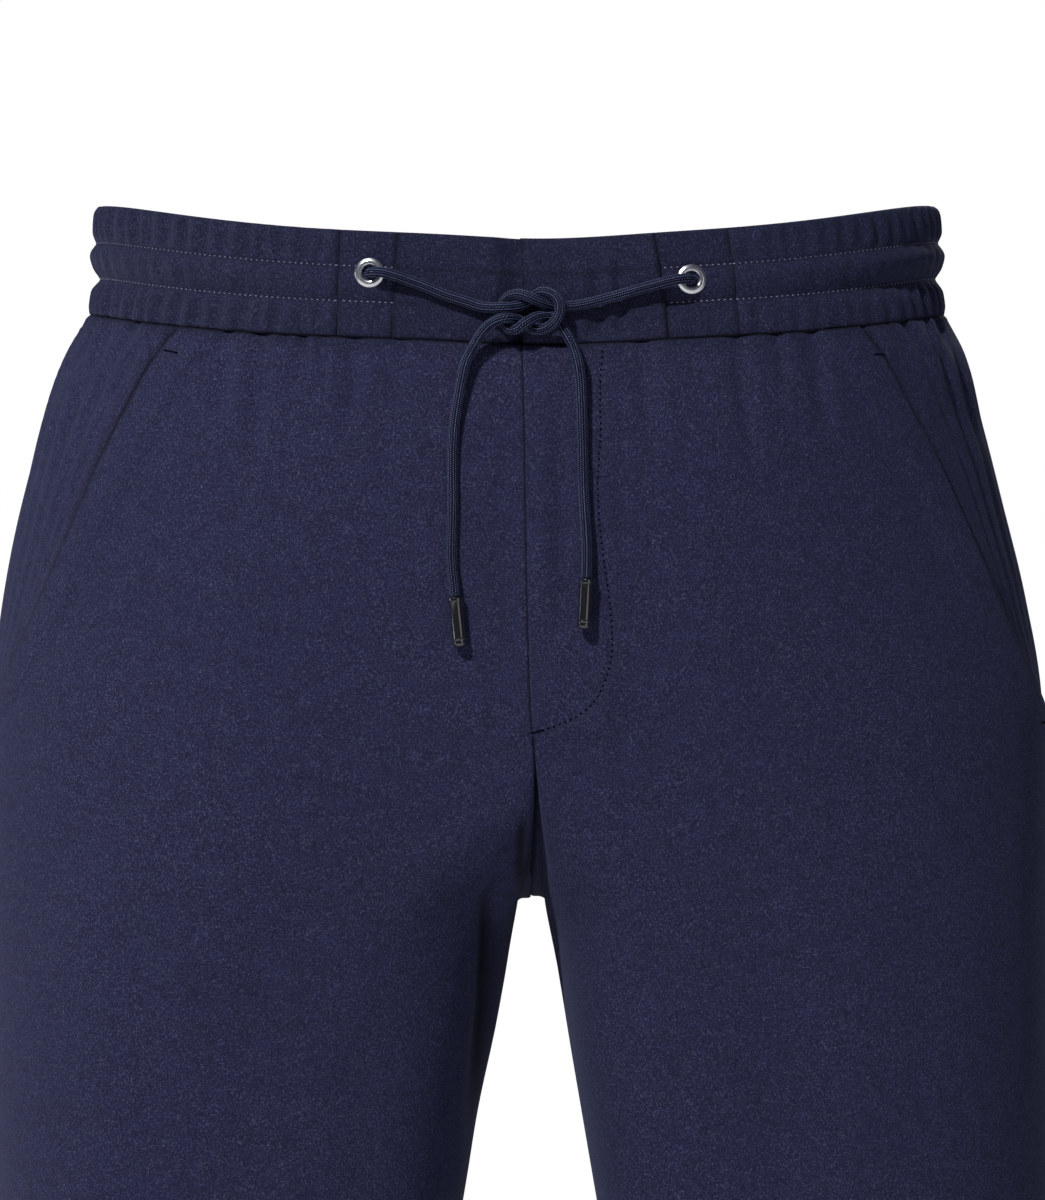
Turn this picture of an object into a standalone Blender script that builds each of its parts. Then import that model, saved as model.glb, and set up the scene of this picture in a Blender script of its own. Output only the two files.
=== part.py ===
"""Slacks with a gathered waistband, slanted pockets, a fly and a tied drawstring.

The garment stands as worn, with no wearer. Metres, +Z up. The wearer faces -Y, so the
wearer's left is +X. The origin is the centre of the waist ring, inside the waistband.

The cloth follows one closed form. At each height a half of the garment is a flat curve
that starts at the centre seam (or, below the fork, at the inside leg seam), runs round
the front or the back and ends at the side seam. Every piece of cloth takes its points
from these curves and gets its thickness by moving them inwards.
"""
import math
import random
from collections import namedtuple

import bmesh
import bpy
import numpy as np
from mathutils import Vector

# ------------------------------------------------------------------ driving sizes
WALL = 0.0014              # leg cloth
SEAM = 0.00015             # half of the gap between two sewn pieces
LAP_CLEAR = 0.0006         # gap between a lapped piece and what it lies on
FORK_Z = -0.259            # lowest point of the crotch seam
FORK_Y = 0.015
FRONT_RISE = 0.074         # height over which the front crotch seam curves
BACK_RISE = 0.125
SADDLE_DROP = 0.006        # rounding of the narrow saddle between the legs
HEM_Z = -1.030

# Form of the garment. right and left are the half-widths from the middle plane, centre
# the place of the centre seam, front and back the depths, side and inseam the depths of
# those two seams, crown the distance from the centre seam to the fullest line of the
# front and back, and gap half the space between the legs.
Section = namedtuple("Section", "z right left centre front back side inseam crown gap")
FORM = [Section(*row) for row in (
    (0.036, 0.1778, 0.1772, 0.0012, -0.1105, 0.1080, 0.000, 0.015, 0.030, 0.0000),
    (-0.012, 0.1800, 0.1805, 0.0018, -0.1125, 0.1120, 0.000, 0.015, 0.030, 0.0000),
    (-0.026, 0.1876, 0.1876, 0.0022, -0.1140, 0.1145, 0.000, 0.015, 0.030, 0.0000),
    (-0.060, 0.2007, 0.1973, 0.0032, -0.1170, 0.1220, 0.000, 0.015, 0.031, 0.0000),
    (-0.094, 0.2101, 0.2063, 0.0037, -0.1185, 0.1290, 0.000, 0.015, 0.033, 0.0000),
    (-0.128, 0.2169, 0.2152, 0.0043, -0.1195, 0.1335, 0.000, 0.015, 0.037, 0.0000),
    (-0.170, 0.2222, 0.2228, 0.0055, -0.1192, 0.1350, 0.000, 0.015, 0.047, 0.0000),
    (-0.212, 0.2245, 0.2240, 0.0078, -0.1180, 0.1330, 0.001, 0.015, 0.068, 0.0014),
    (-0.240, 0.2250, 0.2245, 0.0068, -0.1165, 0.1300, 0.001, 0.015, 0.086, 0.0040),
    (-0.259, 0.2250, 0.2248, 0.0058, -0.1150, 0.1270, 0.001, 0.015, 0.097, 0.0056),
    (-0.285, 0.2245, 0.2250, 0.0058, -0.1130, 0.1220, 0.001, 0.014, 0.106, 0.0110),
    (-0.323, 0.2240, 0.2255, 0.0058, -0.1095, 0.1150, 0.002, 0.013, 0.115, 0.0177),
    (-0.386, 0.2222, 0.2255, 0.0058, -0.1035, 0.1050, 0.002, 0.010, 0.124, 0.0290),
    (-0.520, 0.2165, 0.2205, 0.0058, -0.0885, 0.0880, 0.002, 0.006, 0.135, 0.0498),
    (-0.650, 0.2110, 0.2160, 0.0058, -0.0755, 0.0760, 0.002, 0.003, 0.141, 0.0670),
    (-0.850, 0.2065, 0.2120, 0.0058, -0.0645, 0.0675, 0.002, 0.002, 0.146, 0.0835),
    (-1.030, 0.2050, 0.2110, 0.0058, -0.0600, 0.0635, 0.002, 0.002, 0.148, 0.0905),
)]
CORNER_INNER = 3.4         # squareness of the curve on the inner thigh
CORNER_OUTER = 2.25        # squareness of the curve towards the side seam

# Rows of the leg panels below the hip, as heights at the centre seam and at the side.
# The crotch seam needs its rows close together where it runs level.
HIP_Z = -0.100
SEAM_REFERENCE_Z = -0.020  # mean height of the seam under the band
ROWS_ABOVE_HIP = 5
Row = namedtuple("Row", "inner outer")
ROWS = [Row(*heights) for heights in (
    (-0.100, -0.100), (-0.120, -0.120), (-0.140, -0.140), (-0.160, -0.160),
    (-0.178, -0.180), (-0.187, -0.190), (-0.198, -0.201),
    (-0.213, -0.218), (-0.228, -0.236),
    (-0.240, -0.254), (-0.249, -0.271), (-0.2555, -0.286), (-0.2582, -0.297), (FORK_Z, -0.308),
    (-0.2608, -0.320), (-0.270, -0.333), (-0.292, -0.349), (-0.322, -0.366),
    (-0.360, -0.388), (-0.405, -0.420), (-0.460, -0.467), (-0.520, -0.522),
    (-0.585, -0.585), (-0.650, -0.650), (-0.720, -0.720), (-0.800, -0.800),
    (-0.880, -0.880), (-0.960, -0.960), (HEM_Z, HEM_Z),
)]
FORK_ROW = ROWS_ABOVE_HIP + [row.inner for row in ROWS].index(FORK_Z)
ROW_BLEND = 0.075          # distance from the inner seam over which a row changes height
BACK_COLUMNS = 15
FRONT_MIDDLE_COLUMNS = 7
SADDLE_STEP = 0.0055       # spacing of the first columns, on the saddle
EDGE_COLUMNS = 3           # columns of a front panel that stand up beside a lapped edge
SAME_POINT = 1e-9          # points closer than this are one point

# Fly: the wearer's left laps over the right.
FLY_LAP = 0.028
FLY_STRAIGHT_Z = -0.160    # the lap is full down to here
FLY_END_Z = -0.186

# Slanted pocket mouths, as the distance of the mouth from the side seam.
Mouth = namedtuple("Mouth", "z distance")
MOUTH = [Mouth(*row) for row in (
    (0.000, 0.087), (-0.020, 0.083), (-0.072, 0.071), (-0.115, 0.057), (-0.150, 0.041),
    (-0.180, 0.018), (-0.190, 0.008), (-0.199, 0.000),
)]
POCKET_END_Z = -0.201      # last row of the facing
UNDERLAP = 0.008           # column step of the facing under the front panel
FACING_COLUMNS = 5         # columns of the facing that show

# Waistband. Its edges follow the waist ring: they rise from the front to the sides.
BAND_TOP_SIDE, BAND_TOP_FRONT_DROP, BAND_TOP_BACK_DROP = 0.0325, 0.0200, 0.0045
BAND_LOW_SIDE, BAND_LOW_FRONT_DROP, BAND_LOW_BACK_DROP = -0.0110, 0.0190, 0.0045
BAND_DEPTH = 0.0030        # thickness of the band
STITCH_LOW, STITCH_HIGH = 0.335, 0.665   # the two stitch rows, as shares of the height
BAND_PROUD = 0.0006        # how far the band stands out from the legs' cloth
TUNNEL_BULGE = 0.0019
SIDE_BULGE = 0.0012        # how much more the tunnel stands out at the sides and back
PATCH_BACKING = 0.0012     # extra thickness behind the eyelets
LAP_RAMP = 0.010           # length over which the underlap sinks behind the front
LAP_MARGIN = 0.0025        # the underlap is fully sunk this far before the lapping edge
BAND_UNDERLAP = 0.020
LAP_SHARES = (0.0, 0.16, 0.32, 0.44, 0.53, 0.58, 0.62, 0.66, 0.76, 0.88, 1.0)
ELASTIC_BLEND = 0.10       # share of the elastic over which gathers and bulge grow
# Outer profile of the band: share of the height, outward offset, share of the gathers.
Step = namedtuple("Step", "height offset gather")
BAND_PROFILE = [Step(*row) for row in (
    (0.000, -0.0002, 0.5), (0.170, 0.0007, 1.0), (STITCH_LOW, -0.0004, 0.2), (0.430, 0.0007, 0.7),
    (0.570, 0.0007, 0.7), (STITCH_HIGH, -0.0004, 0.2), (0.840, 0.0005, 1.0), (1.000, -0.0003, 0.6),
)]
CREST = 3                  # first profile row of the tunnel's crest
# Seams of the band: place across the front at the top and bottom edge.
SeamLine = namedtuple("SeamLine", "top_x low_x")
BAND_SEAMS = {
    "right_outer": SeamLine(-0.0709, -0.0721),
    "right_inner": SeamLine(-0.0478, -0.0501),
    "lap": SeamLine(0.0014, 0.0024),
    "left_inner": SeamLine(0.0555, 0.0614),
    "left_outer": SeamLine(0.0850, 0.0900),
}
GATHERS = 92               # gathers in the elastic band, side to side round the back
GATHER_DEPTH = 0.0009
GATHER_SEED = 4
GATHER_SPREAD = 0.28       # how much the width of a gather varies
GATHER_CRESTS = (0.55, 1.0)
GATHER_DIPS = (0.35, 0.90)
FRONT_GATHER = 0.45        # share of the gathers' depth at the elastic's front ends
RING_STEP = 0.003          # step for the waist ring's direction, as a share of the elastic

# Eyelets.
Place = namedtuple("Place", "x z")
EYELET_PLACES = {"right": Place(-0.0587, -0.0009), "left": Place(0.0697, -0.0034)}
EYELET_RADIUS = 0.0060
EYELET_HOLE_RADIUS = 0.0028
EYELET_BARREL_RADIUS = 0.0032
EYELET_HEIGHT = 0.0011
EYELET_BARREL_LENGTH = 0.0022
EYELET_SIDES = 24
EYELET_EDGE = 0.0004       # rounding of the outer rim
EYELET_SLOPE = 0.0007      # width of the slope inside the rim
EYELET_LIP = 0.0006        # width of the lip round the hole
EYELET_SOFTEN = 0.0002     # how far the slope and the lip lie below the top
EYELET_INSIDE = 0.0008     # depth of the lip's inside
SEAT_REACH = 0.004         # how far the seat's cutter reaches out of the band
SEAT_SINK = 0.0007         # how far the eyelet's seat lies below the band's crest
PIECE_GAP = 0.0003
TANGENT_STEP = 0.002       # step for the waist ring's direction

# Drawstring. Each route has x and z across the front and the height of the cord's
# centre above the cloth, in millimetres. The two strands cross six times.
CORD_DIAMETER = 0.0040
CORD_SPACING = 0.0030      # spacing of the tube's points in the knot
CORD_LONG_SPACING = 0.0095
ROUTE_SAMPLES = 1200
BAND_STEP_RAMP = 0.006     # height over which a cord steps down from the band to the legs
Reach = namedtuple("Reach", "x_low x_high z_low z_high")
KNOT_REACH = Reach(-0.022, 0.025, -0.034, -0.004)
EXIT_REACH = 0.012         # length of the bend out of an eyelet
Stop = namedtuple("Stop", "x z height")
MM = 0.001
CORD_ROUTES = {
    "right": (
        (-58.7, -0.9, -1.6), (-58.7, -0.9, 0.4), (-58.0, -0.9, 2.5), (-56.3, -0.9, 4.2),
        (-53.0, -1.3, 5.0), (-49.0, -2.4, 4.7), (-45.5, -3.6, 4.0), (-37.0, -6.7, 3.0),
        (-28.7, -10.1, 2.8), (-20.0, -12.9, 2.8), (-14.8, -14.7, 3.2), (-10.0, -15.4, 5.2),
        (-5.6, -15.4, 6.9), (-1.2, -15.0, 5.4), (2.0, -14.2, 3.4), (4.2, -13.1, 2.5),
        (6.2, -11.4, 2.3), (8.4, -9.6, 2.8), (10.4, -9.0, 4.4), (13.0, -9.5, 5.5),
        (15.4, -11.0, 6.4), (17.0, -13.5, 6.9), (17.2, -16.2, 7.1), (16.5, -19.0, 7.1),
        (14.6, -21.6, 6.2), (12.0, -23.4, 4.4), (9.2, -24.2, 3.0), (6.6, -23.8, 2.4),
        (4.4, -22.4, 2.3), (2.0, -20.9, 2.6), (-0.8, -19.6, 4.1), (-4.2, -19.5, 6.9),
        (-7.6, -20.4, 6.4), (-10.8, -22.2, 5.2), (-13.6, -25.0, 4.4), (-16.0, -28.6, 4.2),
        (-18.0, -32.2, 4.6), (-20.4, -37.0, 4.6), (-22.0, -44.0, 3.8), (-23.8, -54.0, 3.0),
        (-25.2, -65.0, 2.7), (-25.7, -78.0, 2.6), (-25.5, -91.0, 2.6), (-25.8, -103.0, 2.7),
        (-25.9, -116.0, 3.0), (-24.9, -127.0, 3.4), (-24.55, -130.6, 3.55),
    ),
    "left": (
        (69.7, -3.4, -1.6), (69.7, -3.4, 0.4), (69.0, -3.4, 2.5), (67.3, -3.5, 4.2),
        (64.0, -3.9, 5.0), (60.0, -4.8, 4.7), (56.0, -5.9, 4.0), (47.7, -8.2, 3.0),
        (40.0, -10.4, 2.7), (32.3, -12.5, 2.6), (27.0, -13.8, 2.4), (22.0, -14.5, 2.3),
        (18.2, -14.7, 2.3), (14.6, -14.3, 2.5), (11.7, -13.8, 3.9), (9.2, -12.9, 5.7),
        (6.6, -11.9, 6.8), (4.0, -10.9, 6.9), (1.4, -10.1, 6.1), (-1.4, -10.2, 4.6),
        (-3.7, -11.2, 3.2), (-5.2, -13.0, 2.4), (-5.8, -15.6, 2.3), (-5.9, -18.2, 2.3),
        (-5.4, -20.7, 2.3), (-4.1, -23.0, 2.9), (-2.0, -24.2, 4.0), (0.5, -23.8, 5.6),
        (2.6, -22.2, 6.8), (4.8, -20.7, 6.6), (7.6, -19.2, 5.0), (10.4, -18.6, 3.4),
        (13.2, -18.6, 2.4), (15.6, -19.4, 2.3), (17.4, -21.5, 2.4), (19.0, -24.3, 2.7),
        (20.8, -27.2, 3.3), (22.4, -30.4, 4.4), (24.0, -35.2, 5.2), (25.2, -42.0, 4.6),
        (25.8, -52.0, 3.4), (26.1, -63.0, 2.8), (26.4, -75.0, 2.6), (26.6, -87.0, 2.6),
        (27.2, -99.0, 2.7), (27.9, -111.0, 3.0), (27.75, -123.4, 3.55),
    ),
}
CORD_END_LENGTH = 0.0205
CORD_END_RADIUS = 0.0030
Lean = namedtuple("Lean", "x z")
CORD_END_LEANS = {"right": Lean(2.1, -20.3), "left": Lean(-1.1, -20.4)}   # run of each end
CORD_END_REST = 0.0006     # gap between a cord end and the cloth
CORD_END_SIDES = 16
CORD_END_WAIST = 0.0002    # how much thinner its barrel is than its two collars
COLLAR_PROUD = 0.0001      # how much fuller the top collar is
TOP_COLLAR = (0.0004, 0.0018, 0.0022)   # distances of the collar's edges from the top
TIP_COLLAR = (0.0030, 0.0026, 0.0018)   # distances of the collar's edges from the tip
TIP_ROUND = (0.0006, 0.0014)            # two steps of the tip's rounding
TIP_DIMPLE = 0.0006
LAST_STEP = 0.4            # a shorter last step of a cord joins the one before it

# Largest folds: face, side, start and end as distance from the inner seam and height,
# half-width and depth (a trough is negative).
Fold = namedtuple("Fold", "face side d0 z0 d1 z1 half_width depth")
FOLDS = [Fold(*row) for row in (
    ("back", -1, 0.020, -0.245, 0.110, -0.330, 0.020, -0.0040),
    ("back", 1, 0.022, -0.250, 0.100, -0.345, 0.020, -0.0038),
    ("back", -1, 0.030, -0.300, 0.120, -0.400, 0.022, -0.0030),
    ("back", 1, 0.028, -0.310, 0.130, -0.395, 0.022, -0.0028),
    ("back", -1, 0.010, -0.610, 0.100, -0.660, 0.030, -0.0040),
    ("back", 1, 0.015, -0.625, 0.105, -0.655, 0.030, -0.0036),
    ("front", -1, 0.020, -0.640, 0.090, -0.600, 0.032, -0.0026),
    ("front", 1, 0.010, -0.600, 0.090, -0.650, 0.032, -0.0026),
    ("front", -1, 0.010, -0.930, 0.110, -0.965, 0.028, -0.0034),
    ("front", 1, 0.010, -0.960, 0.110, -0.925, 0.028, -0.0034),
    ("back", -1, 0.010, -0.950, 0.100, -0.905, 0.030, -0.0030),
    ("back", 1, 0.010, -0.905, 0.100, -0.945, 0.030, -0.0030),
)]
TUCK_DEPTH = 0.0010        # soft gathers where the panels meet the elastic band
TUCK_END_Z = -0.110

# Finishes: colour, roughness and, for metal, how metallic it is.
CLOTH_FINISH = ((0.027, 0.031, 0.070), 0.85)
CORD_FINISH = ((0.060, 0.067, 0.130), 0.80)
CHROME_FINISH = ((0.80, 0.81, 0.82), 0.15, 1.0)
BLACK_FINISH = ((0.012, 0.012, 0.014), 0.12, 1.0)
SHARP_ANGLE = 40.0         # edges sharper than this are shaded as edges


# ------------------------------------------------------------------ reading the tables
def smooth_curve(knots, values, at):
    """Value of a smooth curve through a table's rows; knots rise."""
    knots = np.asarray(knots, float)
    values = np.asarray(values, float)
    steps = np.diff(knots)
    slopes = np.diff(values) / steps
    tangents = np.empty(len(knots))
    tangents[0] = slopes[0]
    tangents[-1] = slopes[-1]
    tangents[1:-1] = (slopes[:-1] * steps[1:] + slopes[1:] * steps[:-1]) / (steps[1:] + steps[:-1])
    flat = slopes[:-1] * slopes[1:] <= 0.0
    tangents[1:-1][flat] = 0.0
    cell = int(np.clip(np.searchsorted(knots, at) - 1, 0, len(steps) - 1))
    step = steps[cell]
    share = min(max((at - knots[cell]) / step, 0.0), 1.0)
    square, cube = share * share, share ** 3
    return float(values[cell] * (2 * cube - 3 * square + 1)
                 + tangents[cell] * step * (cube - 2 * square + share)
                 + values[cell + 1] * (3 * square - 2 * cube)
                 + tangents[cell + 1] * step * (cube - square))


FORM_KNOTS = [row.z for row in reversed(FORM)]
FORM_VALUES = {name: [getattr(row, name) for row in reversed(FORM)] for name in Section._fields}


def form(name, z):
    """One size of the garment's form at height z."""
    return smooth_curve(FORM_KNOTS, FORM_VALUES[name], z)


def mouth_distance(z):
    """Distance of the pocket mouth from the side seam."""
    if z <= MOUTH[-1].z:
        return 0.0
    knots = [row.z for row in reversed(MOUTH)]
    return smooth_curve(knots, [row.distance for row in reversed(MOUTH)], z)


def ease(share):
    """Soft step from 0 to 1."""
    share = min(max(share, 0.0), 1.0)
    return share * share * (3.0 - 2.0 * share)


# ------------------------------------------------------------------ the garment's form
TURN = np.linspace(0.0, 0.5 * math.pi, 25)


def quarter(start, end, corner):
    """Quarter of a superellipse that leaves start along y and reaches end along x."""
    across = 1.0 - np.cos(TURN) ** (2.0 / corner)
    along = np.sin(TURN) ** (2.0 / corner)
    across[-1] = 1.0
    return np.column_stack((start[0] + (end[0] - start[0]) * across,
                            start[1] + (end[1] - start[1]) * along))


def crotch_depth(face, z):
    """Depth of the centre seam, which curves under between the legs."""
    rise = FRONT_RISE if face == "front" else BACK_RISE
    share = min(max((z - FORK_Z) / rise, 0.0), 1.0)
    return FORK_Y + (form(face, z) - FORK_Y) * math.sqrt(1.0 - (1.0 - share) ** 2)


CURVES = {}


def half_curve(face, side, z):
    """Points and lengths of a half's front or back, inner seam to side seam.

    x is the distance from the centre seam, y the depth.
    """
    key = (face, side, round(z, 7))
    if key in CURVES:
        return CURVES[key]
    reach = form("left", z) - form("centre", z) if side > 0 else form("right", z) + form("centre", z)
    depth = form(face, z)
    crown = (form("crown", z), depth)
    gap = form("gap", z)
    pieces = []
    if z >= FORK_Z:
        seam = crotch_depth(face, z)
        drop = math.copysign(min(SADDLE_DROP, 0.5 * abs(depth - seam)), depth)
        pieces.append(np.column_stack((gap * np.sin(TURN), seam + drop * (1.0 - np.cos(TURN)))))
        inner = (gap, seam + drop)
    else:
        inner = (gap, form("inseam", z))
    pieces.append(quarter(inner, crown, CORNER_INNER))
    pieces.append(quarter((reach, form("side", z)), crown, CORNER_OUTER)[::-1])
    points = np.vstack(pieces)
    steps = np.hypot(*np.diff(points, axis=0).T)
    keep = np.concatenate(([True], steps > SAME_POINT))
    points = points[keep]
    lengths = np.concatenate(([0.0], np.cumsum(np.hypot(*np.diff(points, axis=0).T))))
    CURVES[key] = (points, lengths)
    return CURVES[key]


def half_length(face, side, z):
    return float(half_curve(face, side, z)[1][-1])


def surface_point(face, side, distance, z):
    """Point of the form at a distance from the inner seam; a negative one crosses over."""
    if distance < 0.0:
        return surface_point(face, -side, -distance, z)
    points, lengths = half_curve(face, side, z)
    x = float(np.interp(distance, lengths, points[:, 0]))
    y = float(np.interp(distance, lengths, points[:, 1]))
    return np.array((form("centre", z) + side * x, y, z))


def depth_at(x, z):
    """Depth of the front of the form at a place across it."""
    centre = form("centre", z)
    side = 1 if x >= centre else -1
    points, _ = half_curve("front", side, z)
    return float(np.interp(abs(x - centre), points[:, 0], points[:, 1]))


def ring_point(share, z):
    """Point of the waist ring, from one front end of the elastic to the other."""
    route = elastic_route(z)
    x = float(np.interp(share * route[2][-1], route[2], route[0]))
    y = float(np.interp(share * route[2][-1], route[2], route[1]))
    return np.array((x, y, z))


def elastic_route(z):
    """The waist ring at one height, from the right patch round the back to the left."""
    key = ("elastic", round(z, 7))
    if key in CURVES:
        return CURVES[key]
    centre = form("centre", z)
    loops = []
    for face, side, inward in (("front", -1, False), ("back", -1, True), ("back", 1, False),
                               ("front", 1, True)):
        points, _ = half_curve(face, side, z)
        world = np.column_stack((centre + side * points[:, 0], points[:, 1]))
        loops.append(world[::-1] if inward else world)
    right_x = band_seam("right_outer", z) - SEAM
    left_x = band_seam("left_outer", z) + SEAM
    first = loops[0][loops[0][:, 0] < right_x]
    last = loops[3][loops[3][:, 0] > left_x]
    start = np.array([[right_x, depth_at(right_x, z)]])
    end = np.array([[left_x, depth_at(left_x, z)]])
    ring = np.vstack((start, first, loops[1], loops[2], last, end))
    steps = np.hypot(*np.diff(ring, axis=0).T)
    lengths = np.concatenate(([0.0], np.cumsum(steps)))
    CURVES[key] = (ring[:, 0], ring[:, 1], lengths)
    return CURVES[key]


# ------------------------------------------------------------------ the band's edges
def band_edge(y, side_z, front_drop, back_drop):
    """Height of one edge of the band where the waist ring has depth y."""
    if y < 0.0:
        return side_z - front_drop * (y / form("front", 0.0)) ** 2
    return side_z - back_drop * (y / form("back", 0.0)) ** 2


def band_low(y):
    return band_edge(y, BAND_LOW_SIDE, BAND_LOW_FRONT_DROP, BAND_LOW_BACK_DROP)


def band_top(y):
    return band_edge(y, BAND_TOP_SIDE, BAND_TOP_FRONT_DROP, BAND_TOP_BACK_DROP)


def band_seam(name, z):
    """Place of a band seam across the front at height z."""
    line = BAND_SEAMS[name]
    top_z = band_top(form("front", 0.0))
    low_z = band_low(form("front", 0.0))
    return line.low_x + (line.top_x - line.low_x) * (z - low_z) / (top_z - low_z)


# ------------------------------------------------------------------ meshes
def material(name, colour, roughness, metallic=0.0):
    """Plain principled material."""
    made = bpy.data.materials.new(name)
    made.use_nodes = True
    shader = made.node_tree.nodes["Principled BSDF"]
    shader.inputs["Base Color"].default_value = (*colour, 1.0)
    shader.inputs["Roughness"].default_value = roughness
    shader.inputs["Metallic"].default_value = metallic
    return made


def add_object(name, bm, finish, smooth=True):
    """Makes a named object with its own material from a bmesh."""
    bmesh.ops.recalc_face_normals(bm, faces=bm.faces)
    mesh = bpy.data.meshes.new(name)
    bm.to_mesh(mesh)
    bm.free()
    if smooth:
        mesh.shade_smooth()
        mesh.set_sharp_from_angle(angle=math.radians(SHARP_ANGLE))
    mesh.materials.append(material(name, *finish))
    made = bpy.data.objects.new(name, mesh)
    bpy.context.scene.collection.objects.link(made)
    return made


def grid_normals(grid):
    """Mean outward direction at each point of a grid of rows and columns."""
    rows, columns, _ = grid.shape
    normals = np.zeros_like(grid)
    for i in range(rows - 1):
        for j in range(columns - 1):
            a, b = grid[i, j], grid[i, j + 1]
            c, d = grid[i + 1, j + 1], grid[i + 1, j]
            across = np.cross(c - a, d - b)
            length = np.linalg.norm(across)
            if length > 0.0:
                for corner in ((i, j), (i, j + 1), (i + 1, j + 1), (i + 1, j)):
                    normals[corner] += across / length
    return normals


def slab(name, outer, inner, finish):
    """Closed wall between an outer and an inner grid of points."""
    rows, columns, _ = outer.shape
    bm = bmesh.new()
    faces = []
    for grid in (outer, inner):
        faces.append([[bm.verts.new(Vector(grid[i, j])) for j in range(columns)] for i in range(rows)])
    front, rear = faces
    for i in range(rows - 1):
        for j in range(columns - 1):
            for sheet in (front, rear):
                bm.faces.new((sheet[i][j], sheet[i][j + 1], sheet[i + 1][j + 1], sheet[i + 1][j]))
    for i in range(rows - 1):
        for j in (0, columns - 1):
            bm.faces.new((front[i][j], front[i + 1][j], rear[i + 1][j], rear[i][j]))
    for j in range(columns - 1):
        for i in (0, rows - 1):
            bm.faces.new((front[i][j], front[i][j + 1], rear[i][j + 1], rear[i][j]))
    return add_object(name, bm, finish)


def sweep(name, loops, finish):
    """Closed body through a row of closed section loops, capped at both ends."""
    bm = bmesh.new()
    rings = [[bm.verts.new(Vector(point)) for point in loop] for loop in loops]
    count = len(rings[0])
    for near, far in zip(rings[:-1], rings[1:]):
        for k in range(count):
            after = (k + 1) % count
            bm.faces.new((near[k], near[after], far[after], far[k]))
    caps = [bm.faces.new(rings[0]), bm.faces.new(rings[-1])]
    bmesh.ops.triangulate(bm, faces=caps)
    return add_object(name, bm, finish)


def turned(name, profile, sides, finish, place, axis):
    """Solid of revolution; profile is a closed loop of radius and height, or an open one
    from the axis to the axis."""
    bm = bmesh.new()
    on_axis = profile[0][0] == 0.0
    turn = Vector((0.0, 0.0, 1.0)).rotation_difference(Vector(axis))

    def lay(radius, height, angle):
        point = Vector((radius * math.cos(angle), radius * math.sin(angle), height))
        return bm.verts.new(Vector(place) + turn @ point)

    middle = profile[1:-1] if on_axis else profile
    rings = [[lay(radius, height, 2.0 * math.pi * k / sides) for k in range(sides)]
             for radius, height in middle]
    pairs = list(zip(rings[:-1], rings[1:]))
    if not on_axis:
        pairs.append((rings[-1], rings[0]))
    for near, far in pairs:
        for k in range(sides):
            after = (k + 1) % sides
            bm.faces.new((near[k], near[after], far[after], far[k]))
    if on_axis:
        for ring, (radius, height) in ((rings[0], profile[0]), (rings[-1], profile[-1])):
            tip = lay(radius, height, 0.0)
            for k in range(sides):
                bm.faces.new((tip, ring[k], ring[(k + 1) % sides]))
    return add_object(name, bm, finish)


# ------------------------------------------------------------------ leg panels
def row_count():
    return ROWS_ABOVE_HIP + len(ROWS)


def seam_z(face, side, distance):
    """Height of the band's seam over a place on the panel."""
    y = surface_point(face, side, distance, SEAM_REFERENCE_Z)[1]
    return band_low(y) - 2.0 * SEAM


def row_z(face, side, row, distance):
    """Height of a row's point at a distance from the inner seam."""
    if row < ROWS_ABOVE_HIP:
        top = seam_z(face, side, distance)
        return top + (HIP_Z - top) * row / ROWS_ABOVE_HIP
    heights = ROWS[row - ROWS_ABOVE_HIP]
    return heights.inner + (heights.outer - heights.inner) * ease(abs(distance) / ROW_BLEND)


def row_side_z(face, side, row):
    """Height of a row at the side seam."""
    if row < ROWS_ABOVE_HIP:
        return row_z(face, side, row, half_length(face, side, SEAM_REFERENCE_Z))
    return ROWS[row - ROWS_ABOVE_HIP].outer


def fly_lap(z):
    """Width of the lap at a height; it ends in a quarter round."""
    if z >= FLY_STRAIGHT_Z:
        return FLY_LAP
    share = (FLY_STRAIGHT_Z - z) / (FLY_STRAIGHT_Z - FLY_END_Z)
    return FLY_LAP * math.sqrt(max(0.0, 1.0 - share * share))


def fold_height(face, side, distance, z):
    """Sum of the largest folds at a place on the panel."""
    total = 0.0
    for fold in FOLDS:
        if fold.face != face or fold.side != side:
            continue
        run = np.array((fold.d1 - fold.d0, fold.z1 - fold.z0))
        offset = np.array((distance - fold.d0, z - fold.z0))
        share = float(np.clip(offset @ run / (run @ run), 0.0, 1.0))
        away = float(np.linalg.norm(offset - share * run))
        total += fold.depth * math.exp(-(away / fold.half_width) ** 2)
    return total


def tuck_height(column, z):
    """Soft gathers below the elastic, every other column, fading downwards."""
    fade = ease((z - TUCK_END_Z) / (SEAM_REFERENCE_Z - TUCK_END_Z))
    return TUCK_DEPTH * fade * (1.0 if column % 2 else -1.0)


def front_columns(side, row, edge):
    """Distances of a front panel's columns from the inner seam to its outer edge."""
    z = row_z("front", side, row, 0.0)
    lap = fly_lap(z)
    step = max(lap, 2.0 * SADDLE_STEP) / 2.0
    start = -lap if side < 0 else 0.0
    first = [start, start + step, start + 2.0 * step]
    last = [edge - 3.0 * UNDERLAP, edge - 2.0 * UNDERLAP, edge - UNDERLAP, edge]
    middle = np.linspace(first[-1], last[0], FRONT_MIDDLE_COLUMNS + 2)[1:-1]
    return first + list(middle) + last


def mouth_edge(side, row):
    """Distance of the front panel's outer edge from the inner seam."""
    z = row_side_z("front", side, row)
    length = half_length("front", side, z)
    return length - mouth_distance(z)


def pocket_lift(side, row):
    """How far the front panel's outer edge stands up over the facing."""
    return WALL + LAP_CLEAR if row_side_z("front", side, row) >= POCKET_END_Z else 0.0


def fly_lift(row):
    """How far the left front stands up over the right one's underlap."""
    z_above = row_z("front", 1, max(row - 1, 0), 0.0)
    return WALL + LAP_CLEAR if z_above > FLY_END_Z else 0.0


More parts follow.
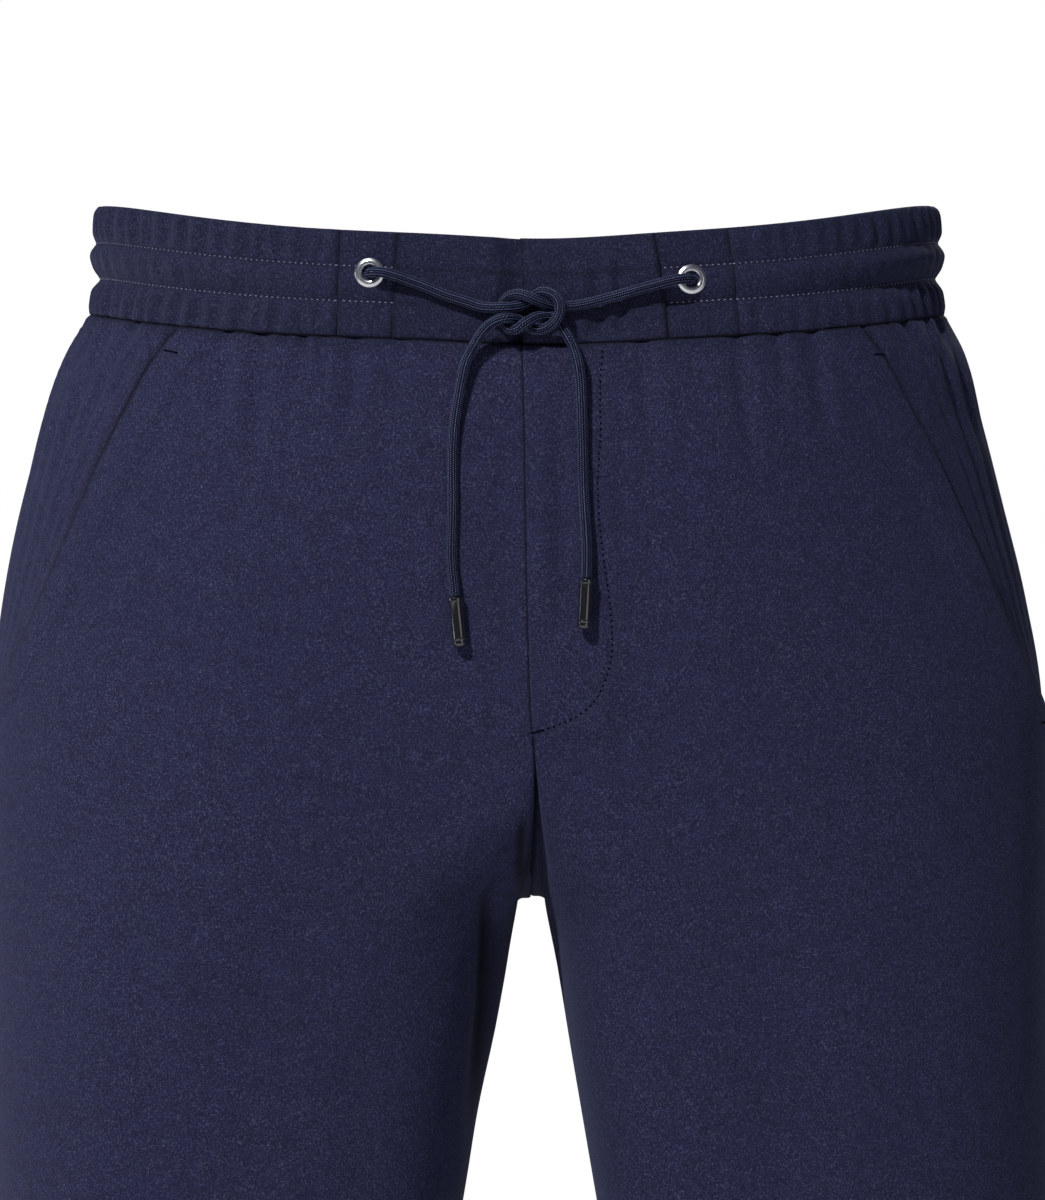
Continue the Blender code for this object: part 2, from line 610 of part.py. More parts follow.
def settle_seams(face, side, outer, inner, seam_columns):
    """Keeps the edges of a panel half a seam's gap from the planes they share."""
    for i in range(outer.shape[0]):
        for j in seam_columns:
            for grid in (outer, inner):
                point = grid[i, j]
                if j == 0 and i <= FORK_ROW:
                    plane = form("centre", point[2])
                    if side * (point[0] - plane) < SEAM:
                        point[0] = plane + side * SEAM
                front_limit = (form("inseam", point[2]) if i > FORK_ROW else FORK_Y)
                if j != 0:
                    front_limit = form("side", point[2])
                elif i < FORK_ROW:
                    continue
                if face == "front":
                    point[1] = min(point[1], front_limit - SEAM)
                else:
                    point[1] = max(point[1], front_limit + SEAM)


def wall_directions(outer, side, face, inner_seam, side_seam_rows):
    """Outward directions, kept in the plane of each seam."""
    normals = grid_normals(outer)
    if inner_seam:
        normals[:FORK_ROW + 1, 0, 0] = 0.0
        normals[FORK_ROW:, 0, 1] = 0.0
    for i in side_seam_rows:
        normals[i, -1, 1] = 0.0
    lengths = np.linalg.norm(normals, axis=2, keepdims=True)
    normals = normals / np.maximum(lengths, 1e-12)
    middle = normals[2, normals.shape[1] // 2]
    outward = -1.0 if face == "front" else 1.0
    if middle[1] * outward < 0.0:
        normals = -normals
    return normals


def front_panel(side, name):
    """Front panel, lapped or lapping at the fly and lifted along the pocket mouth."""
    rows = row_count()
    grid, lifts = [], []
    for row in range(rows):
        edge = mouth_edge(side, row)
        columns = front_columns(side, row, edge)
        points, raise_row = [], []
        for j, distance in enumerate(columns):
            z = row_z("front", side, row, distance)
            point = surface_point("front", side, distance, z)
            points.append(point)
            lift = 0.0
            if j >= len(columns) - EDGE_COLUMNS:
                lift = pocket_lift(side, row)
            elif j < EDGE_COLUMNS and side > 0:
                lift = fly_lift(row)
            raise_row.append(lift + fold_height("front", side, distance, z))
        grid.append(points)
        lifts.append(raise_row)
    base = np.array(grid)
    side_rows = [i for i in range(rows) if mouth_distance(row_side_z("front", side, i)) == 0.0]
    normals = wall_directions(base, side, "front", True, side_rows)
    raised = np.array(lifts)[:, :, None]
    outer = base + normals * raised
    inner = outer - normals * WALL
    keep_outer, keep_inner = outer[:, 0].copy(), inner[:, 0].copy()
    settle_seams("front", side, outer, inner, (0,))
    for i in range(rows):
        if side < 0 and fly_lap(row_z("front", side, i, 0.0)) > 0.0:
            outer[i, 0] = keep_outer[i]
            inner[i, 0] = keep_inner[i]
    for i in side_rows:
        for sheet in (outer, inner):
            sheet[i, -1, 1] = min(sheet[i, -1, 1], form("side", sheet[i, -1, 2]) - SEAM)
    return slab(name, outer, inner, CLOTH_FINISH)


def back_panel(side, name):
    """Back panel, from the inner seam to the side seam."""
    rows = row_count()
    grid, lifts = [], []
    for row in range(rows):
        length = half_length("back", side, row_side_z("back", side, row))
        first = [0.0, SADDLE_STEP, 2.0 * SADDLE_STEP]
        columns = first + list(np.linspace(first[-1], length, BACK_COLUMNS - 2)[1:])
        points, raise_row = [], []
        for j, distance in enumerate(columns):
            z = row_z("back", side, row, distance)
            points.append(surface_point("back", side, distance, z))
            tuck = tuck_height(j, z) if 0 < j < len(columns) - 1 else 0.0
            raise_row.append(tuck + fold_height("back", side, distance, z))
        grid.append(points)
        lifts.append(raise_row)
    base = np.array(grid)
    normals = wall_directions(base, side, "back", True, range(rows))
    outer = base + normals * np.array(lifts)[:, :, None]
    inner = outer - normals * WALL
    settle_seams("back", side, outer, inner, (0, len(columns) - 1))
    return slab(name, outer, inner, CLOTH_FINISH)


def pocket_facing(side, name):
    """Cloth behind the slanted mouth, reaching under the front panel."""
    grid = []
    rows = [row for row in range(row_count()) if row_side_z("front", side, row) >= POCKET_END_Z]
    for row in rows:
        z_side = row_side_z("front", side, row)
        length = half_length("front", side, z_side)
        mouth = mouth_distance(z_side)
        if mouth > 0.0:
            start = length - mouth
            columns = [start - 2.0 * UNDERLAP, start - UNDERLAP]
            columns += list(np.linspace(start, length, FACING_COLUMNS))
        else:
            columns = list(np.linspace(length - 2.0 * UNDERLAP, length, FACING_COLUMNS + 2))
        grid.append([surface_point("front", side, d, row_z("front", side, row, d)) for d in columns])
    base = np.array(grid)
    normals = grid_normals(base)
    normals[:, -1, 1] = 0.0
    normals /= np.linalg.norm(normals, axis=2, keepdims=True)
    if normals[2, 0, 1] > 0.0:
        normals = -normals
    tucks = np.zeros(base.shape[:2])
    for i in range(base.shape[0]):
        for j in range(3, base.shape[1] - 1):
            tucks[i, j] = tuck_height(j, base[i, j, 2])
    outer = base + normals * tucks[:, :, None]
    inner = outer - normals * WALL
    for sheet in (outer, inner):
        for i in range(sheet.shape[0]):
            sheet[i, -1, 1] = min(sheet[i, -1, 1], form("side", sheet[i, -1, 2]) - SEAM)
    return slab(name, outer, inner, CLOTH_FINISH)


# ------------------------------------------------------------------ waistband
def ring_normal(here, before, after):
    """Outward level direction of the waist ring."""
    run = after - before
    normal = np.array((run[1], -run[0], 0.0))
    normal /= np.linalg.norm(normal)
    return normal if normal @ here > 0.0 else -normal


def band_loop(place, bulge, gather, backing, sink):
    """Section loop of the band; place(z) gives a point of the ring and its outward way."""
    middle, _ = place(0.0)
    low, top = band_low(middle[1]), band_top(middle[1])
    loop = []
    for step in BAND_PROFILE:
        point, way = place(low + (top - low) * step.height)
        between = STITCH_LOW < step.height < STITCH_HIGH
        out = step.offset + (bulge if between else 0.0) + gather * step.gather - sink
        loop.append(point + way * out)
    for height in (1.0, 0.5, 0.0):
        point, way = place(low + (top - low) * height)
        extra = backing if height == 0.5 else 0.0
        loop.append(point - way * (BAND_DEPTH - BAND_PROUD + extra + sink))
    return loop


def front_place(x_at):
    """Place function for a band loop at a place across the front."""
    def place(z):
        x = x_at(z)
        here, before, after = (np.array((at, depth_at(at, z), z))
                               for at in (x, x - TANGENT_STEP, x + TANGENT_STEP))
        return here, ring_normal(here, before, after)
    return place


def seam_blend(start, end, share, shift_start=0.0, shift_end=0.0):
    """Place across the front between two seams at a share of the way."""
    def x_at(z):
        x0 = band_seam(start, z) + shift_start
        x1 = band_seam(end, z) + shift_end
        return x0 + (x1 - x0) * share
    return x_at


def band_front(name, start, end, shares, shift_start, shift_end, sink_at, backing=0.0):
    """A flat band piece between two seams of the front."""
    loops = []
    for share in shares:
        x_at = seam_blend(start, end, share, shift_start, shift_end)
        loops.append(band_loop(front_place(x_at), TUNNEL_BULGE, 0.0, backing, sink_at(share)))
    return sweep(name, loops, CLOTH_FINISH)


def elastic_band(name):
    """Gathered band round the sides and back."""
    rng = random.Random(GATHER_SEED)
    loops = []
    stations = [0.0]
    heights = [0.0]
    for _ in range(GATHERS):
        width = 1.0 + rng.uniform(-GATHER_SPREAD, GATHER_SPREAD)
        stations.append(stations[-1] + 0.5 * width)
        heights.append(rng.uniform(*GATHER_CRESTS))
        stations.append(stations[-1] + 0.5 * width)
        heights.append(-rng.uniform(*GATHER_DIPS))
    heights[-1] = 0.0
    total = stations[-1]
    for station, height in zip(stations, heights):
        share = station / total
        fullness = ease(min(share, 1.0 - share) / ELASTIC_BLEND)

        def place(z, share=share):
            here = ring_point(share, z)
            before = ring_point(max(share - RING_STEP, 0.0), z)
            after = ring_point(min(share + RING_STEP, 1.0), z)
            return here, ring_normal(here, before, after)

        gather = GATHER_DEPTH * height * (FRONT_GATHER + (1.0 - FRONT_GATHER) * fullness)
        loops.append(band_loop(place, TUNNEL_BULGE + SIDE_BULGE * fullness, gather, 0.0, 0.0))
    return sweep(name, loops, CLOTH_FINISH)


def crest_height():
    """How far the tunnel's crest stands out from the form at the front."""
    return BAND_PROFILE[CREST].offset + TUNNEL_BULGE


def eyelet_axis(side_name):
    """Seat centre and outward direction of an eyelet."""
    place = EYELET_PLACES[side_name]
    here, way = front_place(lambda _: place.x)(place.z)
    return here + way * (crest_height() - SEAT_SINK), way


def cut_eyelet_hole(patch, side_name):
    """Sinks a seat and a blind hole for the eyelet into a band patch."""
    seat, way = eyelet_axis(side_name)
    profile = (
        (0.0, SEAT_REACH), (EYELET_RADIUS + PIECE_GAP, SEAT_REACH), (EYELET_RADIUS + PIECE_GAP, 0.0),
        (EYELET_BARREL_RADIUS + PIECE_GAP, 0.0),
        (EYELET_BARREL_RADIUS + PIECE_GAP, -EYELET_BARREL_LENGTH - PIECE_GAP),
        (0.0, -EYELET_BARREL_LENGTH - PIECE_GAP),
    )
    cutter = turned("cutter_" + side_name, profile, EYELET_SIDES, CHROME_FINISH, seat, way)
    cutter.hide_render = True
    cutter.display_type = "WIRE"
    cut = patch.modifiers.new("eyelet_hole", "BOOLEAN")
    cut.operation = "DIFFERENCE"
    cut.solver = "EXACT"
    cut.object = cutter


def eyelet(side_name):
    """Flanged metal ring with a short barrel."""
    seat, way = eyelet_axis(side_name)
    rim = EYELET_RADIUS
    hole = EYELET_HOLE_RADIUS
    base = PIECE_GAP
    top = base + EYELET_HEIGHT
    profile = (
        (rim - EYELET_EDGE, base), (rim, base + EYELET_EDGE), (rim - EYELET_SLOPE, top - EYELET_SOFTEN),
        (0.5 * (rim + hole), top), (hole + EYELET_LIP, top - EYELET_SOFTEN), (hole, top - EYELET_INSIDE),
        (hole, -EYELET_BARREL_LENGTH + PIECE_GAP),
        (EYELET_BARREL_RADIUS, -EYELET_BARREL_LENGTH + PIECE_GAP),
        (EYELET_BARREL_RADIUS, base),
    )
    return turned("eyelet_" + side_name, profile, EYELET_SIDES, CHROME_FINISH, seat, way)


def waistband():
    """All pieces of the band."""
    flat = np.linspace(0.0, 1.0, 6)

    def level(_):
        return 0.0

    right = band_front("waistband_patch_right", "right_outer", "right_inner", flat, SEAM, -SEAM,
                       level, PATCH_BACKING)
    left = band_front("waistband_patch_left", "left_inner", "left_outer", flat, SEAM, -SEAM,
                      level, PATCH_BACKING)
    cut_eyelet_hole(right, "right")
    cut_eyelet_hole(left, "left")

    behind = BAND_DEPTH + TUNNEL_BULGE + 2.0 * LAP_CLEAR

    def sink(share):
        start, end = band_seam("right_inner", 0.0), band_seam("lap", 0.0) + BAND_UNDERLAP
        x = start + (end - start) * share
        ramp_start = band_seam("lap", 0.0) - LAP_RAMP - LAP_MARGIN
        return behind * ease((x - ramp_start) / LAP_RAMP)

    band_front("waistband_front_right", "right_inner", "lap", LAP_SHARES, SEAM, BAND_UNDERLAP, sink)
    band_front("waistband_front_left", "lap", "left_inner", np.linspace(0.0, 1.0, 9), 0.0, -SEAM,
               level)
    elastic_band("waistband_elastic")


# ------------------------------------------------------------------ drawstring
def cloth_depth(x, z):
    """Depth of the cloth's face that a cord lies on."""
    low = band_low(form("front", 0.0))
    on_band = ease((z - low) / BAND_STEP_RAMP + 0.5)
    centre = form("centre", z)
    lapped = WALL + LAP_CLEAR if centre < x < centre + FLY_LAP + LAP_RAMP else 0.0
    return depth_at(x, z) - max(crest_height() * on_band, lapped * (1.0 - on_band))


def smooth_route(points):
    """Even smooth curve through a route's own points, with its lengths."""
    points = np.asarray(points, float)
    steps = np.linalg.norm(np.diff(points, axis=0), axis=1)
    knots = np.concatenate(([0.0], np.cumsum(np.sqrt(steps))))
    fine = np.linspace(0.0, knots[-1], ROUTE_SAMPLES)
    curve = np.column_stack([[smooth_curve_free(knots, points[:, k], t) for t in fine] for k in range(3)])
    lengths = np.concatenate(([0.0], np.cumsum(np.linalg.norm(np.diff(curve, axis=0), axis=1))))
    return curve, lengths


def smooth_curve_free(knots, values, at):
    """Smooth curve through the points that may swing past them."""
    cell = int(np.clip(np.searchsorted(knots, at) - 1, 0, len(knots) - 2))
    step = knots[cell + 1] - knots[cell]
    share = (at - knots[cell]) / step

    def tangent(k):
        if k == 0:
            return (values[1] - values[0]) / (knots[1] - knots[0])
        if k == len(knots) - 1:
            return (values[-1] - values[-2]) / (knots[-1] - knots[-2])
        return (values[k + 1] - values[k - 1]) / (knots[k + 1] - knots[k - 1])

    square, cube = share * share, share ** 3
    return (values[cell] * (2 * cube - 3 * square + 1) + tangent(cell) * step * (cube - 2 * square + share)
            + values[cell + 1] * (3 * square - 2 * cube) + tangent(cell + 1) * step * (cube - square))


def cord_points(side_name):
    """Centre line of one strand, close together in the knot."""
    stops = [Stop(*row) for row in CORD_ROUTES[side_name]]
    route = [(stop.x * MM, cloth_depth(stop.x * MM, stop.z * MM) - stop.height * MM, stop.z * MM)
             for stop in stops]
    curve, lengths = smooth_route(route)
    knot = KNOT_REACH
    places = [0.0]
    while places[-1] < lengths[-1] - 1e-6:
        x = float(np.interp(places[-1], lengths, curve[:, 0]))
        z = float(np.interp(places[-1], lengths, curve[:, 2]))
        inside = knot.x_low < x < knot.x_high and knot.z_low < z < knot.z_high
        inside = inside or places[-1] < EXIT_REACH
        step = CORD_SPACING if inside else CORD_LONG_SPACING
        places.append(min(places[-1] + step, lengths[-1]))
    if places[-1] - places[-2] < LAST_STEP * CORD_SPACING:
        places.pop(-2)
    return [tuple(float(np.interp(p, lengths, curve[:, k])) for k in range(3)) for p in places]


def drawstring(side_name):
    """One strand of the cord as a round tube."""
    points = cord_points(side_name)
    data = bpy.data.curves.new("drawstring_" + side_name, "CURVE")
    data.dimensions = "3D"
    data.resolution_u = 1
    data.render_resolution_u = 0
    data.bevel_depth = 0.5 * CORD_DIAMETER
    data.bevel_resolution = 2
    data.use_fill_caps = True
    spline = data.splines.new("POLY")
    spline.points.add(len(points) - 1)
    for point, place in zip(spline.points, points):
        point.co = (*place, 1.0)
    data.materials.append(material("drawstring_" + side_name, *CORD_FINISH))
    made = bpy.data.objects.new("drawstring_" + side_name, data)
    bpy.context.scene.collection.objects.link(made)
    return points


def cord_end(side_name, cord_tip):
    """Metal cord end with a flange at the top and a round tip."""
    lean = CORD_END_LEANS[side_name]
    tip_x, tip_z = cord_tip[0] + lean.x * MM, cord_tip[2] + lean.z * MM
    tip_y = cloth_depth(tip_x, tip_z) - CORD_END_RADIUS - CORD_END_REST
    axis = Vector((tip_x - cord_tip[0], tip_y - cord_tip[1], tip_z - cord_tip[2])).normalized()
    start = Vector(cord_tip) + axis * PIECE_GAP
    full, barrel, length = CORD_END_RADIUS, CORD_END_RADIUS - CORD_END_WAIST, CORD_END_LENGTH
    profile = (
        (0.0, 0.0), (barrel, 0.0),
        (full + COLLAR_PROUD, TOP_COLLAR[0]), (full + COLLAR_PROUD, TOP_COLLAR[1]), (barrel, TOP_COLLAR[2]),
        (barrel, length - TIP_COLLAR[0]), (full, length - TIP_COLLAR[1]), (full, length - TIP_COLLAR[2]),
        (full - TIP_ROUND[0], length - TIP_ROUND[0]), (full - TIP_ROUND[1], length),
        (0.0, length - TIP_DIMPLE),
    )
    return turned("cord_end_" + side_name, profile, CORD_END_SIDES, BLACK_FINISH, start, axis)


# ------------------------------------------------------------------ assembly
def build():
    for item in list(bpy.data.objects):
        bpy.data.objects.remove(item, do_unlink=True)
    for side, word in ((-1, "right"), (1, "left")):
        front_panel(side, "front_" + word)
        back_panel(side, "back_" + word)
        pocket_facing(side, "pocket_facing_" + word)
    waistband()
    for word in ("right", "left"):
        eyelet(word)
        points = drawstring(word)
        cord_end(word, points[-1])


build()
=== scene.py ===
"""Looks of the slacks: navy cloth, gathered band, braided drawstring and metal parts.

Metres, +Z up. The wearer faces -Y, so the wearer's left is +X. Every piece of cloth is a
thin closed shell on the garment's form. At each height a half of the garment is a flat
curve that runs from the centre seam (or, below the fork, from the inside leg seam) over
its fullest line to the side seam. The form is that of the solids, apart from a squarer
inner edge of the left leg. The band's edges lie up to 4 mm, and the pocket mouths up to
12 mm, from those of the solids.
"""
import math
import random
from collections import namedtuple
from itertools import chain

import bmesh
import bpy
import numpy as np
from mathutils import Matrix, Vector
from mathutils.bvhtree import BVHTree


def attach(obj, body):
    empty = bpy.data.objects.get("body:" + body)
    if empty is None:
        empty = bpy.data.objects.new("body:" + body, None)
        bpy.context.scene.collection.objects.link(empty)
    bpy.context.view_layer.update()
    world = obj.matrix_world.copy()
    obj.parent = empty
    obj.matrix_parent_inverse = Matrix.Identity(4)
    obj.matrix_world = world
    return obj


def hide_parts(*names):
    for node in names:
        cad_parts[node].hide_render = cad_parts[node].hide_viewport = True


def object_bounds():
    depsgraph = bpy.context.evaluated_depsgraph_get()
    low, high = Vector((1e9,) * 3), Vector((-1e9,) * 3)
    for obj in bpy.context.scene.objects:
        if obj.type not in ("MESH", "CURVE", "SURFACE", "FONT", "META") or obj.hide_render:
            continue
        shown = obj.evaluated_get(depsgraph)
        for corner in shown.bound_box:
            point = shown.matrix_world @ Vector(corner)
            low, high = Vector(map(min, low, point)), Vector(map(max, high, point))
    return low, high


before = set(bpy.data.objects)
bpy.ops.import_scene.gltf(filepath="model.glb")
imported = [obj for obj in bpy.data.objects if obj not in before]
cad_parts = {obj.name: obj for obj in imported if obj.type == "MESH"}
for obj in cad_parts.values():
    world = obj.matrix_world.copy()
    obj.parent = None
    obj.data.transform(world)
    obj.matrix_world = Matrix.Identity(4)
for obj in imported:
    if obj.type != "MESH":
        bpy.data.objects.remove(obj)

CAD_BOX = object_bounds()
MM = 0.001
BODY = "root"

# ------------------------------------------------------------------ camera and light
CAMERA_PLACE = (0.0023, -2.0, -0.132)
FRAME_HEIGHT = 0.5093      # height of the view at the origin's depth
SENSOR = 36.0
FLOOR_GAP = 0.002

# ------------------------------------------------------------------ the garment's form
FORK_Z = -0.259
FORK_Y = 0.015
RISE = {"front": 0.074, "back": 0.125}      # height over which the centre seam curves under
OUTWARD = {"front": -1.0, "back": 1.0}      # sign of y that points out of the garment
SADDLE_DROP = 0.006
SADDLE_FADE = 0.030        # height below the fork over which the saddle straightens
ARCH_HEIGHT = 0.0018       # height of the arch between the inside leg seams
HEM_Z = -1.030
CORNER_INNER = 3.4
CORNER_OUTER = 2.25
LEFT_SQUARE = 1.9          # how much squarer the left leg's inner edge is below the fly
LEFT_SQUARE_TOP, LEFT_SQUARE_END, LEFT_SQUARE_FADE = -0.190, -0.400, 0.070
Section = namedtuple("Section", "z right left centre front back side inseam crown gap")
FORM = [Section(*row) for row in (
    (0.036, 0.1778, 0.1772, 0.0012, -0.1105, 0.1080, 0.000, 0.015, 0.030, 0.0000),
    (-0.012, 0.1800, 0.1805, 0.0018, -0.1125, 0.1120, 0.000, 0.015, 0.030, 0.0000),
    (-0.026, 0.1876, 0.1876, 0.0022, -0.1140, 0.1145, 0.000, 0.015, 0.030, 0.0000),
    (-0.060, 0.2007, 0.1973, 0.0032, -0.1170, 0.1220, 0.000, 0.015, 0.031, 0.0000),
    (-0.094, 0.2101, 0.2063, 0.0037, -0.1185, 0.1290, 0.000, 0.015, 0.033, 0.0000),
    (-0.128, 0.2169, 0.2152, 0.0043, -0.1195, 0.1335, 0.000, 0.015, 0.037, 0.0000),
    (-0.170, 0.2222, 0.2228, 0.0055, -0.1192, 0.1350, 0.000, 0.015, 0.047, 0.0000),
    (-0.212, 0.2245, 0.2240, 0.0078, -0.1180, 0.1330, 0.001, 0.015, 0.068, 0.0014),
    (-0.240, 0.2250, 0.2245, 0.0068, -0.1165, 0.1300, 0.001, 0.015, 0.086, 0.0040),
    (-0.259, 0.2250, 0.2248, 0.0058, -0.1150, 0.1270, 0.001, 0.015, 0.097, 0.0056),
    (-0.285, 0.2245, 0.2250, 0.0058, -0.1130, 0.1220, 0.001, 0.014, 0.106, 0.0110),
    (-0.323, 0.2240, 0.2255, 0.0058, -0.1095, 0.1150, 0.002, 0.013, 0.115, 0.0177),
    (-0.386, 0.2222, 0.2255, 0.0058, -0.1035, 0.1050, 0.002, 0.010, 0.124, 0.0290),
    (-0.520, 0.2165, 0.2205, 0.0058, -0.0885, 0.0880, 0.002, 0.006, 0.135, 0.0498),
    (-0.650, 0.2110, 0.2160, 0.0058, -0.0755, 0.0760, 0.002, 0.003, 0.141, 0.0670),
    (-0.850, 0.2065, 0.2120, 0.0058, -0.0645, 0.0675, 0.002, 0.002, 0.146, 0.0835),
    (-1.030, 0.2050, 0.2110, 0.0058, -0.0600, 0.0635, 0.002, 0.002, 0.148, 0.0905),
)]
HIP_Z = -0.100
SEAM_REFERENCE_Z = -0.020
ROWS_ABOVE_HIP = 5
Row = namedtuple("Row", "inner outer")
ROWS = [Row(*heights) for heights in (
    (-0.100, -0.100), (-0.120, -0.120), (-0.140, -0.140), (-0.160, -0.160),
    (-0.178, -0.180), (-0.187, -0.190), (-0.198, -0.201), (-0.213, -0.218), (-0.228, -0.236),
    (-0.240, -0.254), (-0.249, -0.271), (-0.2555, -0.286), (-0.2582, -0.297), (FORK_Z, -0.308),
    (-0.2608, -0.320), (-0.270, -0.333), (-0.292, -0.349), (-0.322, -0.366),
    (-0.360, -0.388), (-0.405, -0.420), (-0.460, -0.467), (-0.520, -0.522),
    (-0.585, -0.585), (-0.650, -0.650), (-0.720, -0.720), (-0.800, -0.800),
    (-0.880, -0.880), (-0.960, -0.960), (HEM_Z, HEM_Z),
)]
ROW_BLEND = 0.075
ROW_FLAT = 0.012           # width beside the inner seam where rows stay level
FLY_LAP = 0.028
FLY_STRAIGHT_Z = -0.160
FLY_END_Z = -0.186
Mouth = namedtuple("Mouth", "z distance")
MOUTHS = {
    -1: [Mouth(*row) for row in (
        (0.000, 0.1020), (-0.020, 0.0980), (-0.072, 0.0885), (-0.115, 0.0770), (-0.150, 0.0590),
        (-0.180, 0.0300), (-0.190, 0.0130), (-0.199, 0.0000),
    )],
    1: [Mouth(*row) for row in (
        (0.000, 0.1010), (-0.020, 0.0970), (-0.040, 0.0927), (-0.072, 0.0822), (-0.115, 0.0710),
        (-0.150, 0.0590), (-0.180, 0.0300), (-0.190, 0.0130), (-0.199, 0.0000),
    )],
}
POCKET_END_Z = -0.201
FACING_UNDER = 0.016       # width of the facing that lies under the front panel

# Cloth of the shells.
CLOTH = 0.0011
SEWN_GAP = -0.00003        # half of the gap between two sewn edges; negative where they press together
TUCK = 0.00050             # how far a panel's top edge reaches into the band's seam
SEAM_TURN = 0.006          # width over which the cloth turns into a seam
MOUTH_SHADOW_WIDTH = 0.0012        # width of the painted shadow beside the pocket mouth, under the front panel's raised edge
FACING_SINK = 0.0009       # depth of the facing under the pocket mouth
LAP_LIFT = 0.0014          # how far a lapped edge stands up
SEAM_SINK, SEAM_WIDTH = 0.0008, 0.0020
SOFT_SINK, SOFT_WIDTH = 0.00035, 0.0012
EDGE_ROUND = 0.0006
EDGE_STEPS = (0.0, 0.00012, 0.0003, 0.0006, 0.0011, 0.0019, 0.0030)
TOP_SHADE_LINES = ((0.0010, 0.9), (0.0032, 0.35))   # width and darkness of the painted shade under the band's seam
SEAM_SHADE_WIDTH = 0.0009         # width of the painted shade along a seam
MOUTH_REACH, MOUTH_RAMP, MOUTH_FADE = 0.024, 0.010, 0.012
FLY_RAMP = 0.012           # width over which the lapping edge comes down
# Relief beside the fly's stitches: place and width in millimetres, height in metres.
Relief = namedtuple("Relief", "away width height")
FLY_GROOVE, FLY_SWELL = Relief(0.0, 1.1, 0.00032), Relief(5.0, 3.6, 0.00028)
FORK_PASSES = 24           # rounds of evening out the grid at the fork
FORK_REACH = 0.030         # height over which it is evened out
FORK_START, FORK_RAMP, FORK_WIDTH, FORK_FADE = 0.004, 0.020, 0.10, 0.05
FACING_FULLNESS = {-1: 1.5, 1: 1.1}
FAR = 1.0                  # a distance beyond every edge's reach
LINE_STEPS = (-0.0028, -0.0018, -0.0011, -0.0006, -0.0003, 0.0, 0.0003, 0.0006, 0.0011, 0.0018, 0.0028,
              0.0042)
LEAST_STEP = 1.0e-7        # keeps columns apart
UPPER_PITCH, LOWER_PITCH = 0.0036, 0.0075   # row spacing above and below the thigh
PITCH_CHANGE_Z = -0.42
COLUMN_PITCH = {"front": 0.0022, "back": 0.0034}

# ------------------------------------------------------------------ creases
# CAD folds: face, side, start and end as distance from the inner seam and height.
Fold = namedtuple("Fold", "face side d0 z0 d1 z1 half_width depth")
FOLDS = [Fold(*row) for row in (
    ("back", -1, 0.020, -0.245, 0.110, -0.330, 0.020, -0.0040),
    ("back", 1, 0.022, -0.250, 0.100, -0.345, 0.020, -0.0038),
    ("back", -1, 0.030, -0.300, 0.120, -0.400, 0.022, -0.0030),
    ("back", 1, 0.028, -0.310, 0.130, -0.395, 0.022, -0.0028),
    ("back", -1, 0.010, -0.610, 0.100, -0.660, 0.030, -0.0040),
    ("back", 1, 0.015, -0.625, 0.105, -0.655, 0.030, -0.0036),
    ("front", -1, 0.020, -0.640, 0.090, -0.600, 0.032, -0.0026),
    ("front", 1, 0.010, -0.600, 0.090, -0.650, 0.032, -0.0026),
    ("front", -1, 0.010, -0.930, 0.110, -0.965, 0.028, -0.0034),
    ("front", 1, 0.010, -0.960, 0.110, -0.925, 0.028, -0.0034),
    ("back", -1, 0.010, -0.950, 0.100, -0.905, 0.030, -0.0030),
    ("back", 1, 0.010, -0.905, 0.100, -0.945, 0.030, -0.0030),
)]
